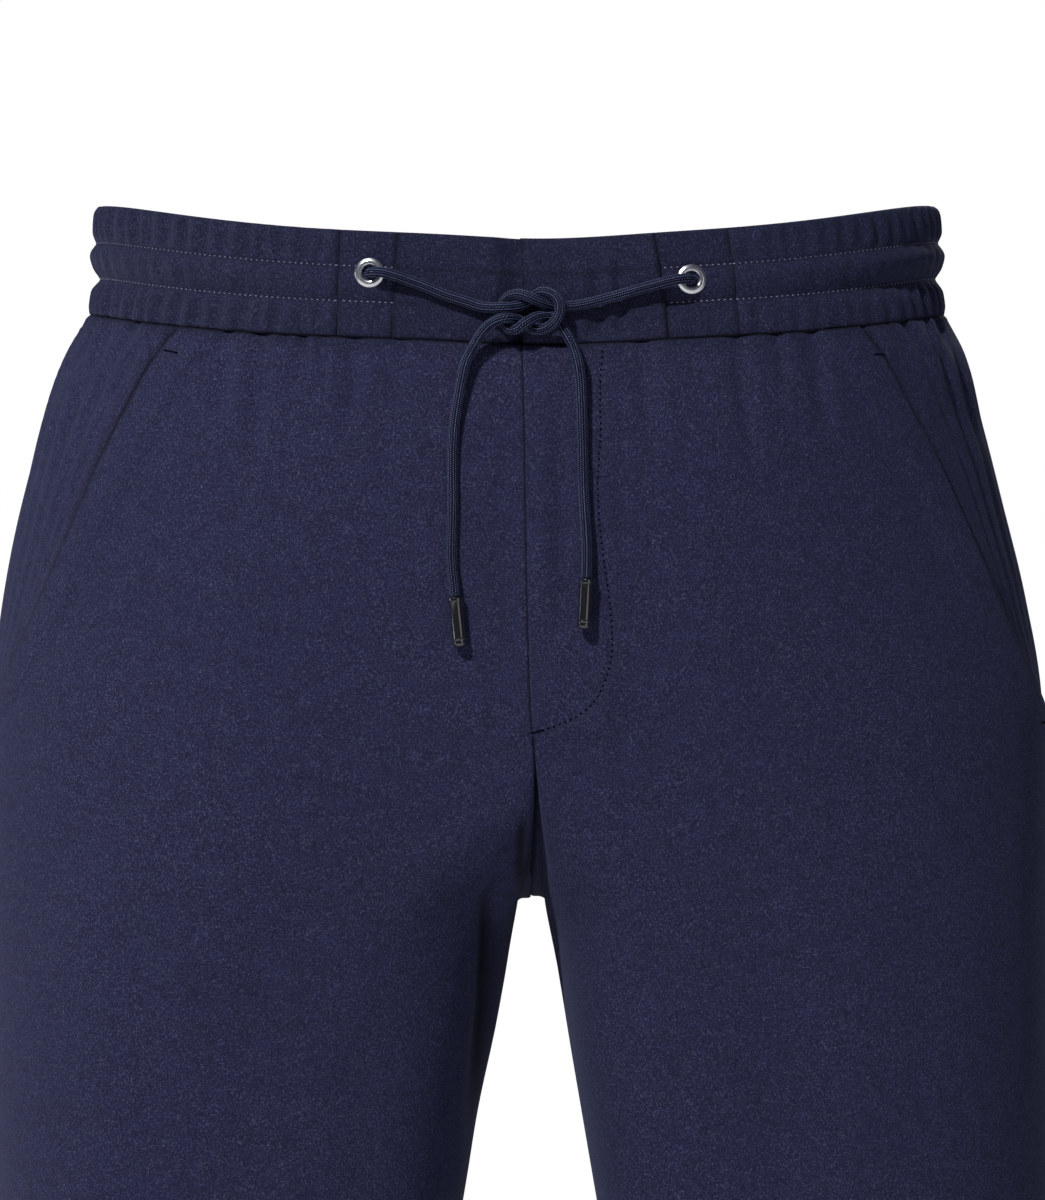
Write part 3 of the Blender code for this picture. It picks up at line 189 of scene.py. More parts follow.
# Creases seen from the front or the back, in millimetres: route as x and z, half-width,
# depth, and the share of the depth that a ridge on the route's left side has.
Crease = namedtuple("Crease", "where route half_width depth ridge")
CREASES = [Crease(*row) for row in (
    ("front", ((19.5, -150), (18.2, -100), (17.4, -62), (17.0, -30)), 4.6, -1.15, 0.65),
    ("front", ((-3.0, -160), (-4.5, -100), (-6.0, -34)), 5.0, -0.55, 0.2),
    ("front", ((-86.4, -12), (-86.0, -30), (-85.2, -50)), 2.6, -3.0, 0.6),
    ("front", ((-95.0, -12), (-92.6, -38), (-90.0, -60)), 3.2, -1.7, 0.5),
    ("front", ((-78.0, -12), (-79.4, -36), (-82.0, -56)), 2.8, -1.2, 0.5),
    ("front", ((-103, -12), (-104, -50), (-108, -88)), 4.4, -1.9, 0.5),
    ("front", ((-116, -10), (-118, -36), (-122, -66)), 3.6, -1.5, 0.5),
    ("front", ((-64.0, -12), (-66.0, -46), (-70.0, -78)), 3.8, -1.3, 0.4),
    ("front", ((-45.0, -14), (-47.0, -40), (-50.0, -62)), 3.6, -0.8, 0.4),
    ("front", ((50.0, -14), (51.0, -45), (55.0, -80)), 3.8, -1.5, 0.4),
    ("front", ((88.0, -12), (90.0, -48), (96.0, -84)), 3.6, -1.5, 0.4),
    ("front", ((118, -10), (122, -46), (127, -74)), 3.4, -1.6, 0.4),
    ("front", ((104, -12), (106, -34), (109, -52)), 2.8, -1.4, 0.4),
    ("front", ((-2.2, -236), (-11.6, -252), (-13.4, -297), (-16.6, -326), (-22, -372)),
     3.2, -3.2, 0.45),
    ("front", ((-6.0, -226), (-26.0, -252), (-40.0, -286)), 9.0, -1.1, 0.25),
    ("front", ((16.0, -226), (26.0, -252), (33.0, -296)), 8.0, -0.9, 0.25),
    ("front", ((14.0, -206), (40.0, -232), (70.0, -250)), 10.0, -0.7, 0.2),
    ("front", ((-14.0, -206), (-44.0, -226), (-76.0, -240)), 11.0, -0.7, 0.2),
    ("front", ((-58, -300), (-60, -340), (-66, -420)), 12.0, -1.1, 0.3),
    ("front", ((-150, -250), (-152, -320), (-148, -400)), 14.0, -1.0, 0.3),
    ("front", ((96, -270), (104, -340), (108, -430)), 14.0, -1.0, 0.3),
    ("front", ((166, -240), (160, -310), (162, -390)), 13.0, -0.9, 0.3),
    ("front", ((-170, -575), (-130, -606), (-96, -618)), 12.0, -1.4, 0.3),
    ("front", ((178, -590), (140, -622), (104, -640)), 12.0, -1.5, 0.3),
    ("front", ((-182, -690), (-150, -704), (-118, -700)), 11.0, -1.0, 0.3),
    ("front", ((192, -676), (160, -700), (126, -706)), 11.0, -1.0, 0.3),
    ("front", ((-186, -985), (-150, -994), (-118, -978)), 9.0, -1.6, 0.3),
    ("front", ((190, -976), (160, -992), (126, -990)), 9.0, -1.6, 0.3),
    ("back", ((-8, -196), (-40, -236), (-92, -262)), 10.0, -1.5, 0.3),
    ("back", ((20, -198), (52, -240), (104, -262)), 10.0, -1.5, 0.3),
    ("back", ((-16, -224), (-44, -262), (-78, -300)), 7.0, -1.2, 0.4),
    ("back", ((26, -228), (54, -268), (90, -306)), 7.0, -1.2, 0.4),
    ("back", ((-150, -300), (-156, -350), (-150, -420)), 13.0, -1.2, 0.3),
    ("back", ((160, -296), (166, -352), (160, -424)), 13.0, -1.2, 0.3),
    ("back", ((-60, -560), (-110, -584), (-170, -580)), 10.0, -1.8, 0.4),
    ("back", ((66, -572), (120, -590), (180, -574)), 10.0, -1.8, 0.4),
    ("back", ((-80, -640), (-120, -668), (-174, -676)), 9.0, -1.5, 0.4),
    ("back", ((90, -652), (130, -676), (186, -676)), 9.0, -1.5, 0.4),
    ("back", ((-100, -720), (-140, -736), (-180, -730)), 11.0, -1.2, 0.3),
    ("back", ((110, -730), (150, -744), (190, -736)), 11.0, -1.2, 0.3),
    ("back", ((-110, -975), (-146, -990), (-184, -982)), 9.0, -1.6, 0.3),
    ("back", ((120, -980), (156, -994), (192, -984)), 9.0, -1.6, 0.3),
)]
# How a crease rises from its start and falls to its end: rate over its length, and base.
Fade = namedtuple("Fade", "rate base")
CREASE_BEGIN, CREASE_END = Fade(3.2, 0.35), Fade(2.2, 0.05)
DEEP_BEGIN, DEEP_END = Fade(4.0, 0.0), Fade(2.5, 0.1)
RIDGE_AWAY, RIDGE_WIDTH = 1.9, 1.2          # a ridge's place and width, in half-widths
# Soft gathers below the elastic part of the band.
GATHER_SPACING = 0.0105
GATHER_FALL = (0.035, 0.110)
GATHER_HEIGHT = (0.0006, 0.0016)
GATHER_HALF_WIDTH = (0.0022, 0.0046)
GATHER_FIRST, GATHER_NEXT = (0.2, 0.8), (0.55, 1.5)   # first and later places, in spacings
GATHER_LEAN = 0.10
GATHER_SPREAD, SPREAD_DEPTH = 6.0, 0.2      # how fast a gather widens, and down to where
# Folds of the pocket facing: distance from the mouth, lean, half-width and depth.
FACING_FOLDS = (
    (0.0115, 0.05, 0.0028, 0.0012), (0.0210, 0.10, 0.0034, 0.0017), (0.0330, 0.16, 0.0040, 0.0017),
    (0.0470, 0.22, 0.0042, 0.0015), (0.0620, 0.28, 0.0040, 0.0011),
)
# Slow unevenness of the cloth.
WAVES = 26
WAVE_LENGTHS = (0.045, 0.190)
WAVE_HEIGHT = 0.0011

# Creases of the right leg beside the fork that lie in their own shade: route as x and z in
# millimetres, half-width and darkness.
DEEP_CREASES = (
    (((-6.6, -239), (-11.6, -254), (-12.6, -292), (-15.0, -326), (-18.0, -356)), 2.5, 0.97),
    (((2.4, -216), (1.2, -230), (0.8, -256)), 1.7, 0.95),
)

# ------------------------------------------------------------------ waistband
# Height at the side, drop to the front, the drop's power and drop to the back.
Edge = namedtuple("Edge", "side front_drop power back_drop")
TOP_EDGE = Edge(0.0333, 0.0176, 2.4, 0.0045)
LOW_EDGE = Edge(-0.0118, 0.0153, 1.9, 0.0045)
MIDDLE_DIP, MIDDLE_DIP_X, MIDDLE_DIP_WIDTH = 0.0027, 0.010, 0.040
BAND_DEPTH = 0.0024        # how far the band's inside lies behind the form
BAND_EDGE = 0.0013         # rounding of its folded edges
STITCH_LOW, STITCH_HIGH = 0.335, 0.665
GROOVE_WIDTH = 0.018       # half-width of a stitch groove, as a share of the height
GROOVE_DEPTH = 0.00045
Level = namedtuple("Level", "height flat side")
BAND_LEVELS = [Level(*row) for row in (
    (0.000, 0.0000, 0.0000), (0.080, 0.0007, 0.0010), (0.200, 0.0010, 0.0016),
    (STITCH_LOW, 0.0008, 0.0002), (0.450, 0.0023, 0.0026), (0.550, 0.0026, 0.0036),
    (STITCH_HIGH, 0.0010, 0.0014), (0.800, 0.0008, 0.0010), (0.930, 0.0005, 0.0003),
    (1.000, 0.0000, -0.0004),
)]
PLAIN_LEVELS = ((0.0, 0.0), (0.25, 0.0017), (0.5, 0.0025), (0.75, 0.0016), (1.0, 0.0))
SeamLine = namedtuple("SeamLine", "top_x low_x")
BAND_SEAMS = {
    "right_outer": SeamLine(-0.0709, -0.0721),
    "right_inner": SeamLine(-0.0478, -0.0501),
    "lap": SeamLine(0.0014, 0.0024),
    "left_inner": SeamLine(0.0555, 0.0614),
    "left_outer": SeamLine(0.0850, 0.0900),
}
BAND_UNDERLAP = 0.020
UNDERLAP_SINK = 0.0046
UNDERLAP_RAMP = 0.011
GATHERS = 92
GATHER_DEPTH = 0.0015
FRONT_FULLNESS = 0.60      # strength of the gathers where the elastic starts
GATHER_SEED = 4
ELASTIC_BLEND = 0.10
BAND_COLUMN = 0.0011
BAND_ROWS = 48
SOFT_END, SEWN_END = 0.35, 0.85   # darkness of the painted shade at a band piece's end seams
BAND_NEAR_EDGE = (0.002, 0.005, 0.009, 0.014)
END_COLUMN = 0.35          # width of a piece's end columns, as a share of the others
LEAST_COLUMNS = 12
WIDTH_Z = -0.010           # height at which a flat piece's width is taken
WAY_STEP = 0.002           # step for outward directions, as a share of the ring or in metres
CREASE_RISE = 0.10         # share of the height over which the pieces' creases begin
# Creases of the band pieces: x and z in millimetres, half-width, depth, ridge share.
BAND_CREASES = [Crease(*row) for row in (
    ("left", ((17.8, -7.6), (12.5, -0.8), (6.8, 6.2)), 1.2, -1.9, 0.55),
    ("left", ((36.0, -30), (34.0, -10), (32.5, 13)), 8.5, -2.2, 0.20),
    ("left", ((27.5, -26), (27.2, -8), (27.0, 13)), 2.6, 0.9, 0.0),
    ("left", ((37.6, -27), (37.3, -8), (37.0, 13)), 2.2, 1.7, 0.0),
    ("left", ((42.6, -27), (42.0, -8), (41.4, 13)), 2.2, -1.1, 0.0),
    ("left", ((51.0, -28), (50.6, -10), (50.0, 11)), 2.4, -0.6, 0.3),
    ("left", ((21.5, -16), (20.0, -4), (18.0, 12)), 3.2, -0.55, 0.4),
    ("right", ((-43.0, 12), (-43.4, -8), (-44.0, -29)), 2.2, -0.35, 0.3),
    ("right", ((-30.0, 12), (-31.0, -2), (-33.0, -18)), 3.4, -0.25, 0.3),
    ("right", ((-12.0, 12), (-11.0, 0), (-9.0, -12)), 3.4, -0.25, 0.3),
    ("patch", ((-52.6, 12), (-53.4, 3), (-53.0, -29)), 2.0, -0.7, 0.3),
    ("patch", ((-67.4, 12), (-68.2, 4), (-68.0, -8)), 1.2, -0.5, 0.5),
    ("patch", ((-62.0, 12), (-62.4, 6), (-62.0, 4)), 1.4, -0.25, 0.5),
    ("patch", ((83.4, 13), (84.0, 8), (85.0, 1)), 1.3, -0.6, 0.4),
    ("patch", ((74.0, 12), (74.6, 8), (75.0, 4)), 1.6, -0.25, 0.4),
    ("patch", ((64.0, 10), (65.0, -12), (67.0, -28)), 2.6, -0.2, 0.3),
)]

# ------------------------------------------------------------------ metal and cord
Place = namedtuple("Place", "x z")
EYELET_PLACES = {"right": Place(-0.0587, -0.0009), "left": Place(0.0697, -0.0034)}
EYELET_RADIUS = 0.0060
EYELET_HOLE_RADIUS = 0.0028
EYELET_HEIGHT = 0.0013
EYELET_BARREL = 0.0020
EYELET_SIDES = 96
SEAT_SINK = 0.0007
CREST = 0.0026             # how far the band's crest stands out at the front
PIECE_GAP = 0.0003
BAND_STEP_RAMP = 0.006
LAP_RAMP = 0.010
CAD_WALL, CAD_CLEAR = 0.0014, 0.0006
CORD_DIAMETER = 0.0040
CORD_RIBS = 12
CORD_STITCH = 0.00090      # length of one stitch of the braid
CORD_STEP = 0.00030
CORD_SIDES = 48
RIB_HEIGHT = 0.00030
STITCH_RELIEF = 0.00018
STITCH_LEAN = 0.35         # how far a braid stitch leans, as a share of its length
ROUTE_SAMPLES = 1200
Stop = namedtuple("Stop", "x z height")
CORD_ROUTES = {
    "right": (
        (-58.7, -0.9, -1.6), (-58.7, -0.9, 0.4), (-58.0, -0.9, 2.5), (-56.3, -0.9, 4.2),
        (-53.0, -1.3, 5.0), (-49.0, -2.4, 4.7), (-45.5, -3.6, 4.0), (-37.0, -6.7, 3.0),
        (-28.7, -10.1, 2.8), (-20.0, -12.9, 2.8), (-14.8, -14.7, 3.2), (-10.0, -15.4, 5.2),
        (-5.6, -15.4, 6.9), (-1.2, -15.0, 5.4), (2.0, -14.2, 3.4), (4.2, -13.1, 2.5),
        (6.2, -11.4, 2.3), (8.4, -9.6, 2.8), (10.4, -9.0, 4.4), (13.0, -9.5, 5.5),
        (15.4, -11.0, 6.4), (17.0, -13.5, 6.9), (17.2, -16.2, 7.1), (16.5, -19.0, 7.1),
        (14.6, -21.6, 6.2), (12.0, -23.4, 4.4), (9.2, -24.2, 3.0), (6.6, -23.8, 2.4),
        (4.4, -22.4, 2.3), (2.0, -20.9, 2.6), (-0.8, -19.6, 4.1), (-4.2, -19.5, 6.9),
        (-7.6, -20.4, 6.4), (-10.8, -22.2, 5.2), (-13.6, -25.0, 4.4), (-16.0, -28.6, 4.2),
        (-18.0, -32.2, 4.6), (-20.4, -37.0, 4.6), (-22.0, -44.0, 3.8), (-23.8, -54.0, 3.0),
        (-25.2, -65.0, 2.7), (-25.7, -78.0, 2.6), (-25.5, -91.0, 2.6), (-25.8, -103.0, 2.7),
        (-25.9, -116.0, 3.0), (-24.9, -127.0, 3.4), (-24.55, -130.6, 3.55),
    ),
    "left": (
        (69.7, -3.4, -1.6), (69.7, -3.4, 0.4), (69.0, -3.4, 2.5), (67.3, -3.5, 4.2),
        (64.0, -3.9, 5.0), (60.0, -4.8, 4.7), (56.0, -5.9, 4.0), (47.7, -8.2, 3.0),
        (40.0, -10.4, 2.7), (32.3, -12.5, 2.6), (27.0, -13.8, 2.4), (22.0, -14.5, 2.3),
        (18.2, -14.7, 2.3), (14.6, -14.3, 2.5), (11.7, -13.8, 3.9), (9.2, -12.9, 5.7),
        (6.6, -11.9, 6.8), (4.0, -10.9, 6.9), (1.4, -10.1, 6.1), (-1.4, -10.2, 4.6),
        (-3.7, -11.2, 3.2), (-5.2, -13.0, 2.4), (-5.8, -15.6, 2.3), (-5.9, -18.2, 2.3),
        (-5.4, -20.7, 2.3), (-4.1, -23.0, 2.9), (-2.0, -24.2, 4.0), (0.5, -23.8, 5.6),
        (2.6, -22.2, 6.8), (4.8, -20.7, 6.6), (7.6, -19.2, 5.0), (10.4, -18.6, 3.4),
        (13.2, -18.6, 2.4), (15.6, -19.4, 2.3), (17.4, -21.5, 2.4), (19.0, -24.3, 2.7),
        (20.8, -27.2, 3.3), (22.4, -30.4, 4.4), (24.0, -35.2, 5.2), (25.2, -42.0, 4.6),
        (25.8, -52.0, 3.4), (26.1, -63.0, 2.8), (26.4, -75.0, 2.6), (26.6, -87.0, 2.6),
        (27.2, -99.0, 2.7), (27.9, -111.0, 3.0), (27.75, -123.4, 3.55),
    ),
}
CORD_END_LENGTH = 0.0205
CORD_END_RADIUS = 0.0030
Lean = namedtuple("Lean", "x z")
CORD_END_LEANS = {"right": Lean(2.1, -20.3), "left": Lean(-1.1, -20.4)}
CORD_END_REST = 0.0006      # gap between a cord end and the cloth
CORD_END_SIDES = 64

# ------------------------------------------------------------------ sewing
STITCH_PITCH = 0.0024
STITCH_LENGTH = 0.0014
THREAD = 0.00050
TACK_THREAD, FLY_THREAD = 0.0010, 0.0009
PATCH_ROW_IN = 0.0008      # how far a patch's stitch rows stop short of its seams
FLY_PITCH, FLY_LENGTH = 0.0024, 0.0014
TACK_PITCH, TACK_LENGTH = 0.0007, 0.0011
RING_SAMPLES = 1500
# The fly's curved stitch line and its bar tack, x and z in millimetres.
FLY_STITCH = (
    (34.4, -31.5), (33.3, -47), (33.5, -65), (32.4, -84), (33.0, -101), (35.0, -118),
    (37.2, -134), (38.0, -146), (37.6, -156), (34.6, -166), (29.6, -174), (22.8, -179),
    (16.0, -182), (10.0, -184), (6.2, -185.2),
)
BAR_TACKS = (
    ((5.6, -185.3), (11.2, -183.7)),
    ((-143.4, -30.6), (-137.4, -31.9)),
    ((144.9, -32.2), (149.8, -32.2)),
    ((217.5, -182.8), (220.5, -183.2)),
)

# ------------------------------------------------------------------ colours, grain and light
NAVY_DARK = (0.0030, 0.0036, 0.0200)
NAVY_MID = (0.0180, 0.0192, 0.0610)
NAVY_LIGHT = (0.1250, 0.1320, 0.2550)
NAVY_GREY = (0.0280, 0.0290, 0.0680)
# Near-black colour of the painted shade along seams, edges, creases and the pocket mouths.
PAINTED_SHADE_COLOUR = (0.0006, 0.0007, 0.0030)
BAND_SHADE_TONE = 0.80           # how much darker the band's copy of the cloth is painted, as painted shade
NAP_TINT = (0.50, 0.55, 0.90, 1.0)
THREAD_PALE = ((0.150, 0.165, 0.270), (0.340, 0.370, 0.510))
# Near-black thread of the fly stitch and the bar tacks: the thread's colour darkened to paint the shade of
# the sunk stitch lines.
THREAD_DARK_SHADE = ((0.0008, 0.0010, 0.004), (0.006, 0.007, 0.018))
# Braid colours by relief: pale on the raised stitches, partly their own colour and partly painted highlight;
# near black in the grooves as painted shade.
BRAID_STOPS_WITH_SHADE = ((0.34, (0.0010, 0.0013, 0.0080)), (0.62, (0.0180, 0.0240, 0.0760)),
               (0.86, (0.3800, 0.4400, 0.7200)))
CHROME = ((0.88, 0.89, 0.90), (0.96, 0.96, 0.97))
BLACK_PLATE = ((0.009, 0.009, 0.011), (0.016, 0.016, 0.018))
FLOOR_TONE = (0.93, 0.93, 0.93, 1.0)
FLOOR_REACH = 3.4
FLOOR_SIDES = 96

# Fineness of the grain in repeats for each metre, and the pitches of the weave.
YARN, FLECK, CLOUD, BLOTCH, NAP = 1500.0, 700.0, 16.0, 190.0, 90.0
THREAD_TWIST, CORD_FIBRE = 2600.0, 3200.0
RIB_PITCH, CROSS_PITCH = 0.0007, 0.00045

SKY = (0.62, 0.70, 1.0, 1.0)
SKY_STRENGTH = 0.060
Lamp = namedtuple("Lamp", "name place target size power colour")
LAMPS = [Lamp(*row) for row in (
    ("key", (-1.40, -2.50, 2.35), (0.0, -0.11, -0.30), 0.22, 100.0, (0.97, 0.98, 1.0)),
    ("right_fill", (1.9, -2.3, -0.3), (0.05, 0.0, -0.35), 1.4, 4.0, (1.0, 1.0, 1.0)),
    ("left_rim", (-2.6, 0.3, -0.2), (-0.15, 0.0, -0.35), 1.0, 12.0, (1.0, 1.0, 1.0)),
    ("back_fill", (0.8, 2.6, 1.2), (0.0, 0.0, -0.3), 2.0, 22.0, (1.0, 1.0, 1.0)),
)]


# ------------------------------------------------------------------ reading the tables
def between(values, tangents, cell, step, share):
    """Values of a smooth cubic between neighbouring knots."""
    square, cube = share * share, share ** 3
    return (values[cell] * (2 * cube - 3 * square + 1)
            + tangents[cell] * step * (cube - 2 * square + share)
            + values[cell + 1] * (3 * square - 2 * cube)
            + tangents[cell + 1] * step * (cube - square))


def smooth_curve(knots, values, at):
    """Values of a smooth curve through a table's rows; knots rise."""
    knots = np.asarray(knots, float)
    values = np.asarray(values, float)
    at = np.asarray(at, float)
    steps = np.diff(knots)
    slopes = np.diff(values) / steps
    tangents = np.empty(len(knots))
    tangents[0] = slopes[0]
    tangents[-1] = slopes[-1]
    tangents[1:-1] = (slopes[:-1] * steps[1:] + slopes[1:] * steps[:-1]) / (steps[1:] + steps[:-1])
    tangents[1:-1][slopes[:-1] * slopes[1:] <= 0.0] = 0.0
    cell = np.clip(np.searchsorted(knots, at) - 1, 0, len(steps) - 1)
    step = steps[cell]
    share = np.clip((at - knots[cell]) / step, 0.0, 1.0)
    return between(values, tangents, cell, step, share)


FORM_KNOTS = [row.z for row in reversed(FORM)]
FORM_VALUES = {name: [getattr(row, name) for row in reversed(FORM)] for name in Section._fields}


def form(name, z):
    """One size of the garment's form at heights z."""
    return smooth_curve(FORM_KNOTS, FORM_VALUES[name], z)


def mouth_distance(side, z):
    """Distance of one side's pocket mouth from the side seam."""
    mouth = MOUTHS[side]
    knots = [row.z for row in reversed(mouth)]
    found = smooth_curve(knots, [row.distance for row in reversed(mouth)], z)
    return np.where(np.asarray(z) <= mouth[-1].z, 0.0, found)


def ease(share):
    """Soft step from 0 to 1."""
    share = np.clip(share, 0.0, 1.0)
    return share * share * (3.0 - 2.0 * share)


# ------------------------------------------------------------------ level curves
TURN = np.linspace(0.0, 0.5 * math.pi, 101)
CURVE_POINTS = 150
LEVELS_BELOW, LEVELS_TOP, LEVEL_STEP = 0.002, 0.045, 0.001
FORK_TURNS, FORK_TURN_END = 16, 0.45
ARCH_START = 0.04


def levels():
    """Heights of the table of level curves, close together just above the fork."""
    even = np.arange(HEM_Z - LEVELS_BELOW, LEVELS_TOP, LEVEL_STEP)
    turns = np.linspace(0.0, FORK_TURN_END, FORK_TURNS)
    fork = [FORK_Z + rise * (1.0 - math.cos(turn)) for rise in RISE.values() for turn in turns]
    arch = [FORK_Z - ARCH_HEIGHT * share ** 2 for share in np.linspace(ARCH_START, 1.0, FORK_TURNS)]
    return np.unique(np.round(np.concatenate((even, fork, arch)), 7))


LEVELS = levels()


def quarter(start, end, corner):
    """Quarter of a superellipse that leaves start along y and reaches end along x."""
    across = 1.0 - np.cos(TURN) ** (2.0 / corner)
    along = np.sin(TURN) ** (2.0 / corner)
    across[-1] = 1.0
    return np.column_stack((start[0] + (end[0] - start[0]) * across,
                            start[1] + (end[1] - start[1]) * along))


def crotch_depth(face, z):
    """Depth of the centre seam, which curves under between the legs."""
    share = min(max((z - FORK_Z) / RISE[face], 0.0), 1.0)
    return FORK_Y + (float(form(face, z)) - FORK_Y) * math.sqrt(1.0 - (1.0 - share) ** 2)


def lengths_along(path):
    """Length from the start to each point of a flat or a solid path."""
    steps = np.diff(path, axis=0)
    sizes = np.hypot(*steps.T) if steps.shape[1] == 2 else np.linalg.norm(steps, axis=1)
    return np.concatenate(([0.0], np.cumsum(sizes)))


def read_along(path, lengths, at):
    """Values of a path's columns at given lengths."""
    return np.stack([np.interp(at, lengths, path[:, k]) for k in range(path.shape[1])], axis=-1)


def evened(points):
    """The same curve with evenly spaced points, and its length."""
    lengths = lengths_along(points)
    return read_along(points, lengths, np.linspace(0.0, lengths[-1], CURVE_POINTS)), lengths[-1]


def level_curve(face, side, z):
    """A half's curve at one height, as two parts that start at its fullest line.

    The first runs to the inner seam and the second to the side seam. x is the distance
    from the centre seam.
    """
    centre = float(form("centre", z))
    reach = float(form("left", z)) - centre if side > 0 else float(form("right", z)) + centre
    depth = float(form(face, z))
    crown = (float(form("crown", z)), depth)
    gap = float(form("gap", z))
    below = FORK_Z - z
    if below <= 0.0:
        seam_x, seam = 0.0, crotch_depth(face, z)
        drop = min(SADDLE_DROP, 0.5 * abs(depth - seam))
    else:
        arch = min(below / ARCH_HEIGHT, 1.0)
        seam_x, seam = gap * math.sqrt(1.0 - (1.0 - arch) ** 2), float(form("inseam", z))
        drop = SADDLE_DROP * (1.0 - float(ease(below / SADDLE_FADE)))
    drop = math.copysign(drop, depth)
    saddle = np.column_stack((seam_x + (gap - seam_x) * np.sin(TURN), seam + drop * (1.0 - np.cos(TURN))))
    corner = CORNER_INNER
    if side > 0 and face == "front":
        begun = float(ease((LEFT_SQUARE_TOP - z) / LEFT_SQUARE_FADE))
        corner += LEFT_SQUARE * begun * (1.0 - float(ease((LEFT_SQUARE_END - z) / LEFT_SQUARE_FADE)))
    inner = np.vstack((saddle, quarter((gap, seam + drop), crown, corner)))[::-1]
    outer = quarter((reach, float(form("side", z))), crown, CORNER_OUTER)[::-1]
    return evened(inner), evened(outer)


class HalfCurves:
    """Table of one half's level curves, read at any height and place."""

    def __init__(self, face, side):
        found = [level_curve(face, side, z) for z in LEVELS]
        self.points = [np.array([pair[part][0] for pair in found]) for part in (0, 1)]
        self.lengths = [np.array([pair[part][1] for pair in found]) for part in (0, 1)]

    def inner_length(self, z):
        return np.interp(z, LEVELS, self.lengths[0])

    def outer_length(self, z):
        return np.interp(z, LEVELS, self.lengths[1])

    def whole(self, z, count, outer_share=1.0):
        """Points at one height, from the inner seam towards the side seam."""
        s = np.linspace(-float(self.inner_length(z)), outer_share * float(self.outer_length(z)), count)
        return self.read(s, np.full(s.shape, z))

    def read(self, s, z):
        """x from the centre seam and y; s is the distance from the fullest line."""
        s, z = np.broadcast_arrays(np.asarray(s, float), np.asarray(z, float))
        low = np.clip(np.searchsorted(LEVELS, z) - 1, 0, len(LEVELS) - 2)
        rise = np.clip((z - LEVELS[low]) / (LEVELS[low + 1] - LEVELS[low]), 0.0, 1.0)[..., None]
        result = np.zeros(s.shape + (2,))
        for part, inside in ((0, s < 0.0), (1, s >= 0.0)):
            length = np.interp(z, LEVELS, self.lengths[part])
            place = np.clip(np.abs(s) / length, 0.0, 1.0) * (CURVE_POINTS - 1)
            cell = np.clip(place.astype(int), 0, CURVE_POINTS - 2)
            share = (place - cell)[..., None]
            table = self.points[part]
            lower = table[low, cell] * (1 - share) + table[low, cell + 1] * share
            upper = table[low + 1, cell] * (1 - share) + table[low + 1, cell + 1] * share
            result = np.where(inside[..., None], lower * (1 - rise) + upper * rise, result)
        return result


HALVES = {(face, side): HalfCurves(face, side) for face in ("front", "back") for side in (-1, 1)}


def surface(face, side, s, z):
    """Points of the form; past the centre seam they lie on the other half."""
    half, other = HALVES[face, side], HALVES[face, -side]
    own = half.read(s, z)
    over = -half.inner_length(z) - s
    far = other.read(over - other.inner_length(z), z)
    crossed = over > 0.0
    x = np.where(crossed, -side * far[..., 0], side * own[..., 0])
    y = np.where(crossed, far[..., 1], own[..., 1])
    return np.stack((form("centre", z) + x, y, np.broadcast_to(z, x.shape)), axis=-1)


# ------------------------------------------------------------------ meshes
def unit(vectors):
    return vectors / np.maximum(np.linalg.norm(vectors, axis=-1, keepdims=True), 1e-12)


def grid_normals(points):
    """Unit normals of a grid of points."""
    down = np.gradient(points, axis=0)
    across = np.gradient(points, axis=1)
    return unit(np.cross(down, across))


def new_object(name, points, faces, finish, uv=None, shade=None):
    """Smooth-shaded mesh object that rides on the part's body."""
    mesh = bpy.data.meshes.new(name)
    mesh.from_pydata([tuple(p) for p in points], [], [tuple(f) for f in faces])
    mesh.validate()
    if uv is not None:
        layer = mesh.uv_layers.new(name="cloth")
        corners = np.zeros(len(mesh.loops), int)
        mesh.loops.foreach_get("vertex_index", corners)
        layer.data.foreach_set("uv", np.asarray(uv, float)[corners].ravel())
    # Painted shade along seams, edges and creases, kept for each point for the material.
    if shade is not None:
        store_value(mesh, "painted_shade", shade)
    mesh.shade_smooth()
    mesh.materials.append(finish)
    made = bpy.data.objects.new(name, mesh)
    bpy.context.scene.collection.objects.link(made)
    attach(made, BODY)
    return made


def dress(made, node):
    """Hides the CAD node that an object replaces, and returns the object."""
    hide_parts(node)
    return made


def grid_faces(rows, columns, start=0, flip=False, wrap=False):
    """Quads of a grid; wrap joins the last column to the first."""
    i = np.arange(rows - 1)[:, None]
    j = np.arange(columns if wrap else columns - 1)[None, :]
    after = (j + 1) % columns
    a, b = i * columns + j, i * columns + after
    c, d = (i + 1) * columns + after, (i + 1) * columns + j
    quads = np.stack((a, b, c, d), axis=-1).reshape(-1, 4) + start
    return quads[:, ::-1] if flip else quads


def store_value(mesh, name, values):
    """Stores one number for each point of a mesh, for its material to read."""
    layer = mesh.attributes.new(name, "FLOAT", "POINT")
    layer.data.foreach_set("value", np.asarray(values, np.float32).ravel())


def line_shade(distance, width, strength):
    """Painted shade along a seam, an edge or a crease, fading with distance from the line."""
    return strength * np.exp(-(distance / width) ** 2)


def darkest(*lines):
    """Darkest painted shade of several lines, each given by distance, width and strength."""
    return np.maximum.reduce([line_shade(*line) for line in lines])


def shell(name, outer, inner, uv, finish, outward, shade):
    """Closed shell between two grids; outward is a rough direction at the middle."""
    rows, columns, _ = outer.shape
    count = rows * columns
    middle = grid_normals(outer)[rows // 3, columns // 2]
    flip = float(middle @ np.asarray(outward)) > 0.0
    faces = [grid_faces(rows, columns, 0, flip), grid_faces(rows, columns, count, not flip)]
    index = np.arange(count).reshape(rows, columns)
    loop = np.concatenate((index[0, :-1], index[:-1, -1], index[-1, :0:-1], index[:0:-1, 0]))
    after = np.roll(loop, -1)
    rim = np.stack((loop, loop + count, after + count, after), axis=-1)
    faces.append(rim[:, ::-1] if flip else rim)
    points = np.vstack((outer.reshape(-1, 3), inner.reshape(-1, 3)))
    places = np.vstack((uv.reshape(-1, 2), uv.reshape(-1, 2)))
    return new_object(name, points, np.vstack(faces), finish, places, np.concatenate((shade, shade)))


